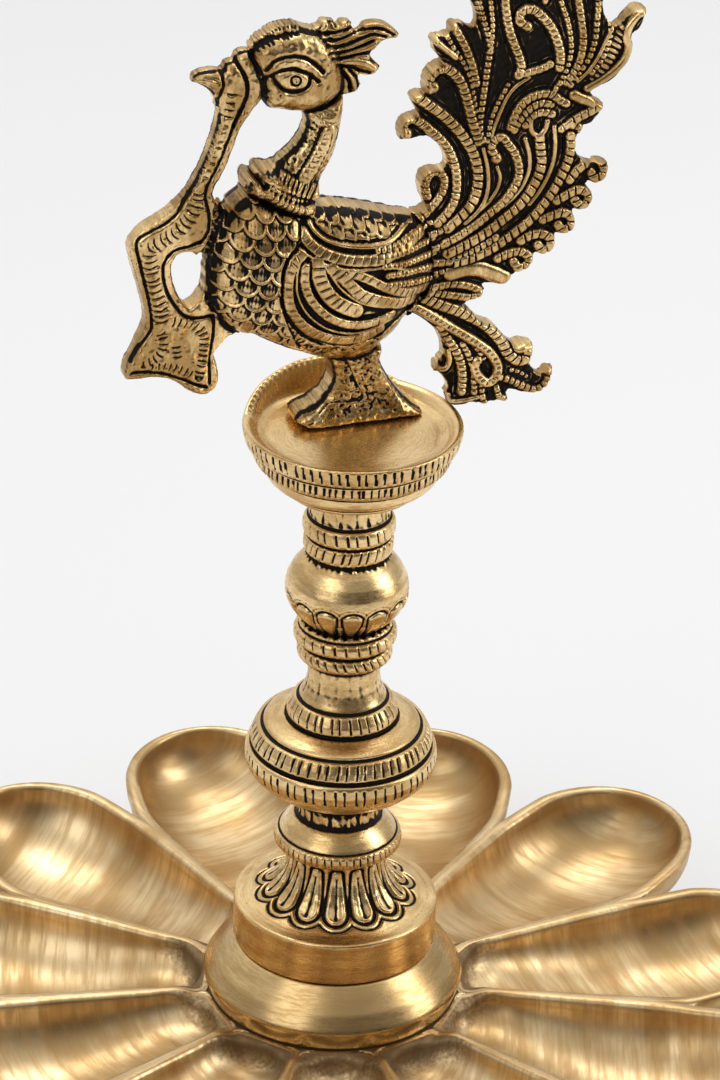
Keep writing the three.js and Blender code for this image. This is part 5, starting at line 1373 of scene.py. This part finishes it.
# Height of the carving over the forms: first the strokes of tail and plume, then scales, ground and feathers
# of the body, and last the cuts
def carveRelief():
    relief = np.zeros(gridX.shape)
    seed = 100
    ridge, gap, width = birdLines["beside"]
    for form in ("tail", "plume"):
        for kind, half, height, points in birdLines[form]:
            seed += 1
            xs, zs = toSurface(flowing(points), 1.0)
            half = half * birdLines["wider"][kind]
            far, along, side = trace(xs, zs, half + 1.5)
            relief = np.maximum(relief, lineRelief(kind, half, height, far, along, side, seed))
            beside = ridge * np.exp(-((far - half - gap) / width) ** 2) * (far < half + 1.5)
            relief = np.maximum(relief, beside)
    for place, size in birdLines["spots"]:
        xs, zs = toSurface(np.array([place, place]), 1.0)
        far = np.hypot(gridX - xs[0], gridZ - zs[0])
        knob = birdLines["spotHeight"] * np.sqrt(np.maximum(1 - (far / size) ** 2, 0))
        relief = np.maximum(relief, np.where(far < size, knob, -9))
    for name, (pitch, row, leaning, lift) in birdLines["scales"].items():
        region = regionOf(birdLines["regions"][name])
        relief = np.where(region, overlappingScales(pitch, row, leaning, lift), relief)
    for name, (drop, fine, coarse) in birdLines["ground"].items():
        region = regionOf(birdLines["regions"][name])
        ground = -drop + fine * np.minimum(rough(0.28, 7), 1) + coarse * rough(0.8, 8)
        relief = np.where(region, ground, relief)
    for kind, half, height, points in birdLines["body"]:
        seed += 1
        half = half * (1.12 if kind == "ribs" else 1)
        xs, zs = toSurface(flowing(points))
        far, along, side = trace(xs, zs, half + 0.3)
        relief = np.maximum(relief, lineRelief(kind, half, height, far, along, side, seed))
    for half, depth, points in birdLines["cuts"]:
        xs, zs = toSurface(flowing(points))
        far = trace(xs, zs, 3 * half)[0]
        relief = relief - depth * np.exp(-(far / half) ** 2) * (far < 3 * half)
    for half, depth, period, points in birdLines["ladders"]:
        seed += 1
        xs, zs = toSurface(flowing(points))
        far, along, side = trace(xs, zs, half)
        rung = cutsAlong(along + 0.16 * side * side, side, period, 0.06, 0.12, seed)
        relief = relief - depth * rung * (1 - (far / half) ** 4) * (far < half)
    for place, size, depth in birdLines["pits"]:
        xs, zs = toSurface(np.array([place, place]))
        relief = relief - depth * np.exp(-((gridX - xs[0]) ** 2 + (gridZ - zs[0]) ** 2) / size ** 2)
    return relief


relief = carveRelief()
print("bird lines traced")


# Front and back face from the grid's cells, with the outermost corners moved to the outline, and side walls
def birdMesh(solid, thickness):
    inside = solid > 0
    count = inside[:-1, :-1].astype(int) + inside[1:, :-1] + inside[:-1, 1:] + inside[1:, 1:]
    cells = count >= 2
    used = np.zeros(inside.shape, bool)
    full = np.zeros(inside.shape, int)
    for dr, dc in ((0, 0), (1, 0), (0, 1), (1, 1)):
        used[dr:inside.shape[0] - 1 + dr, dc:inside.shape[1] - 1 + dc] |= cells
        full[dr:inside.shape[0] - 1 + dr, dc:inside.shape[1] - 1 + dc] += cells
    edge = used & (full < 4)
    gz, gx = np.gradient(solid, cell)
    slope = np.maximum(gx ** 2 + gz ** 2, 0.25)
    move = np.clip(solid / slope, -0.7 * cell, 0.7 * cell)
    x = np.where(edge, gridX - move * gx, gridX)
    z = np.where(edge, gridZ - move * gz, gridZ)
    index = -np.ones(inside.shape, int)
    index[used] = np.arange(used.sum())
    total = int(used.sum())
    y0 = bird["middle"]
    front = np.stack([x[used], y0 - thickness[used], z[used]], 1)
    rear = np.stack([x[used], y0 + thickness[used], z[used]], 1)
    r, c = np.nonzero(cells)
    a, b, d, e = index[r, c], index[r, c + 1], index[r + 1, c + 1], index[r + 1, c]
    frontFaces = np.stack([a, b, d, e], 1)
    rearFaces = np.stack([e, d, b, a], 1) + total
    # side walls, where a cell's neighbour is empty
    padded = np.pad(cells, 1)
    walls = []
    for dr, dc, first, second in ((-1, 0, a, b), (1, 0, d, e), (0, -1, e, a), (0, 1, b, d)):
        bare = ~padded[r + 1 + dr, c + 1 + dc]
        walls.append(np.stack([second[bare], first[bare], first[bare] + total, second[bare] + total], 1))
    faces = np.concatenate([frontFaces, rearFaces] + walls)
    return np.concatenate([front, rear]), faces, used


# A blur that leaves out what lies beside the casting
def blurGrid(values, weight, sigma):
    top = blur(blur(values * weight, sigma / cell, 0, False), sigma / cell, 1, False)
    bottom = blur(blur(weight, sigma / cell, 0, False), sigma / cell, 1, False)
    return top / np.maximum(bottom, 1e-6)


def makeBird():
    mask = (solid > -0.3).astype(float)
    ground = np.maximum(base, 1.2)
    rounded = np.clip(solid / bird["rounding"], 0, 1)
    rounding = bird["rounding"] * (1 - np.sqrt(np.maximum(1 - (1 - rounded) ** 2, 0)))
    # seams between the forms are filleted a little
    ground = blurGrid(ground, mask, bird["seamFillet"])
    web = blurGrid(regionOf(birdLines["regions"]["bridge"]).astype(float), mask, 1.0)
    ground = ground * (1 - web) + blurGrid(ground, mask, bird["webFillet"]) * web
    thickness = ground + relief * mask - rounding
    thickness = np.maximum(thickness, bird["thinnest"])
    # patina gathers in the relief, and the side walls stay plain
    uncut = ground + relief * mask
    thickness = thickness + 0.1 * np.where(relief < 0.05, rough(0.4, 11), 0)
    hollows = sum(np.clip((blurGrid(uncut, mask, reach) - uncut) / full, least, 1.0) * weight
                  for reach, full, least, weight in bird["patina"])
    near = np.clip(solid / 0.5, 0, 1)
    # the ground between the strokes is dark, and the hollows of the scales are darkened with patina and
    # painted shade together
    bare = (np.maximum(forms["tail"], forms["plume"]) > 0.4) & (np.maximum(forms["body"], forms["leg"]) < 0)
    floor = np.where(bare, (0.72 + 0.1 * rough(0.5, 10)) * np.clip(1.2 - relief / 0.7, 0, 1), 0)
    # scale hollows: patina and painted shade where each scale lies under the one above
    scalePatinaAndShade = regionOf(birdLines["regions"]["breast"]) | regionOf(birdLines["regions"]["back"])
    scalePatinaAndShade = np.where(scalePatinaAndShade, 0.5 * np.clip(1 - relief / 1.1, 0, 1), 0.04)
    cavity = np.maximum(hollows + 0.1 + scalePatinaAndShade, floor) * near + 0.16 * (1 - near)
    thin = blurGrid(thickness, mask, 0.12)
    cavity = cavity * (1 - web) + (0.34 + 0.1 * rough(0.4, 9)) * web
    points, faces, used = birdMesh(solid, thin)
    cav = np.clip(cavity[used], 0, 1.4)
    grain = np.stack([gridX[used] * 1.2, gridZ[used] * 0.5, thin[used]], 1)
    return makeMesh("peacock_cast", points, faces, darkAntique,
                    {"cavity": np.concatenate([cav, cav]), "grain": np.concatenate([grain, grain])})


birdPiece = makeBird()
print("bird made:", len(birdPiece.data.vertices))

# Every piece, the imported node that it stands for, and its slot
made = [
    (lotus, ["lotus_dish"], "satin_brass"),
    (hub, ["hub_dome"], "polished_brass"),
    (footPiece, ["foot"], "polished_brass"),
    (stemPiece, ["stem"], "antique_brass"),
    (cupPiece, ["drip_cup"], "antique_brass"),
    (birdPiece, ["bird"], "antique_brass"),
]
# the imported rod, studs, washer and nut stay and take a finish only
cadLooks = {name: antique for name in ("tie_rod", "washer", "nut", "cup_stud", "bird_stud")}

# Stage and light
stage = {
    "half": 6.0, "fadeFrom": 0.8, "fadeTo": 1.8,
    "floor": (0.72, 0.72, 0.722, 1), "backdrop": (0.88, 0.88, 0.883, 1), "fill": (0.825, 0.825, 0.828, 1),
    # what the metal reflects, low and high in the room
    "roomLow": (0.06, 0.05, 0.04, 1), "roomHigh": (0.9, 0.89, 0.87, 1),
}
black = (0, 0, 0, 1)
# Place and aim in metres, width and height of the softbox, power
lamps = {
    "left_softbox": ((-1.1, -0.7, 1.0), (0, 0, 0.15), 0.9, 1.2, 4.5),
    "right_softbox": ((1.2, -0.5, 0.8), (0, 0, 0.15), 0.5, 1.1, 7),
    "top_softbox": ((0.1, 0.5, 1.5), (0, 0, 0.1), 1.2, 0.6, 7),
}


def makeStage(s):
    far = s["half"]
    mesh = bpy.data.meshes.new("floor")
    mesh.from_pydata([(-far, -far, 0), (far, -far, 0), (far, far, 0), (-far, far, 0)], [], [(0, 1, 2, 3)])
    floor = bpy.data.objects.new("floor", mesh)
    bpy.context.collection.objects.link(floor)
    material = bpy.data.materials.new("pale_floor")
    material.use_nodes = True
    tree = material.node_tree
    shader = tree.nodes["Principled BSDF"]
    # far from the lamp the floor takes the backdrop's colour, so no horizon shows
    path = node(tree, "ShaderNodeLightPath")
    seen = calc(tree, "ADD", path.outputs["Is Camera Ray"], path.outputs["Is Glossy Ray"], clamp=True)
    length = node(tree, "ShaderNodeVectorMath", operation="LENGTH")
    tree.links.new(node(tree, "ShaderNodeTexCoord").outputs["Object"], length.inputs[0])
    away = calc(tree, "MULTIPLY", ramp(tree, length.outputs["Value"], s["fadeFrom"], s["fadeTo"]), seen)
    tree.links.new(mixColour(tree, away, s["floor"], black), shader.inputs["Base Color"])
    tree.links.new(mixColour(tree, away, black, s["backdrop"]), shader.inputs["Emission Color"])
    shader.inputs["Emission Strength"].default_value = 1.0
    shader.inputs["Roughness"].default_value = 0.9
    shader.inputs["Specular IOR Level"].default_value = 0.1
    mesh.materials.append(material)


def makeWorld(s):
    world = bpy.data.worlds.new("studio")
    bpy.context.scene.world = world
    world.use_nodes = True
    tree = world.node_tree
    background = tree.nodes["Background"]
    parts = node(tree, "ShaderNodeSeparateXYZ")
    tree.links.new(node(tree, "ShaderNodeTexCoord").outputs["Generated"], parts.inputs[0])
    # the room is lighter above and behind the lamp
    upper = calc(tree, "MULTIPLY", parts.outputs["Z"], 0.7)
    height = calc(tree, "ADD", upper, calc(tree, "MULTIPLY", parts.outputs["Y"], 0.45))
    path = node(tree, "ShaderNodeLightPath")
    plain = mixColour(tree, path.outputs["Is Camera Ray"], s["fill"], s["backdrop"])
    room = mixColour(tree, ramp(tree, height, -0.3, 0.85), s["roomLow"], s["roomHigh"])
    tree.links.new(mixColour(tree, path.outputs["Is Glossy Ray"], plain, room), background.inputs["Color"])
    background.inputs["Strength"].default_value = 1.0


def makeLight(name, place, aim, width, height, power):
    data = bpy.data.lights.new(name, "AREA")
    data.shape = "RECTANGLE"
    data.size = width
    data.size_y = height
    data.energy = power
    lamp = bpy.data.objects.new(name, data)
    bpy.context.collection.objects.link(lamp)
    direction = Vector(aim) - Vector(place)
    turned = direction.to_track_quat("-Z", "Y").to_matrix().to_4x4()
    lamp.matrix_world = Matrix.Translation(place) @ turned


makeStage(stage)
makeWorld(stage)
for name, values in lamps.items():
    makeLight(name, *values)
bpy.context.scene.view_settings.view_transform = "Standard"
print("stage and lamps made")

for piece, replaced, slotName in made:
    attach(piece, "root")
    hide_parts(*replaced)
for name, material in cadLooks.items():
    for place in nodes[name].material_slots:
        place.material = material
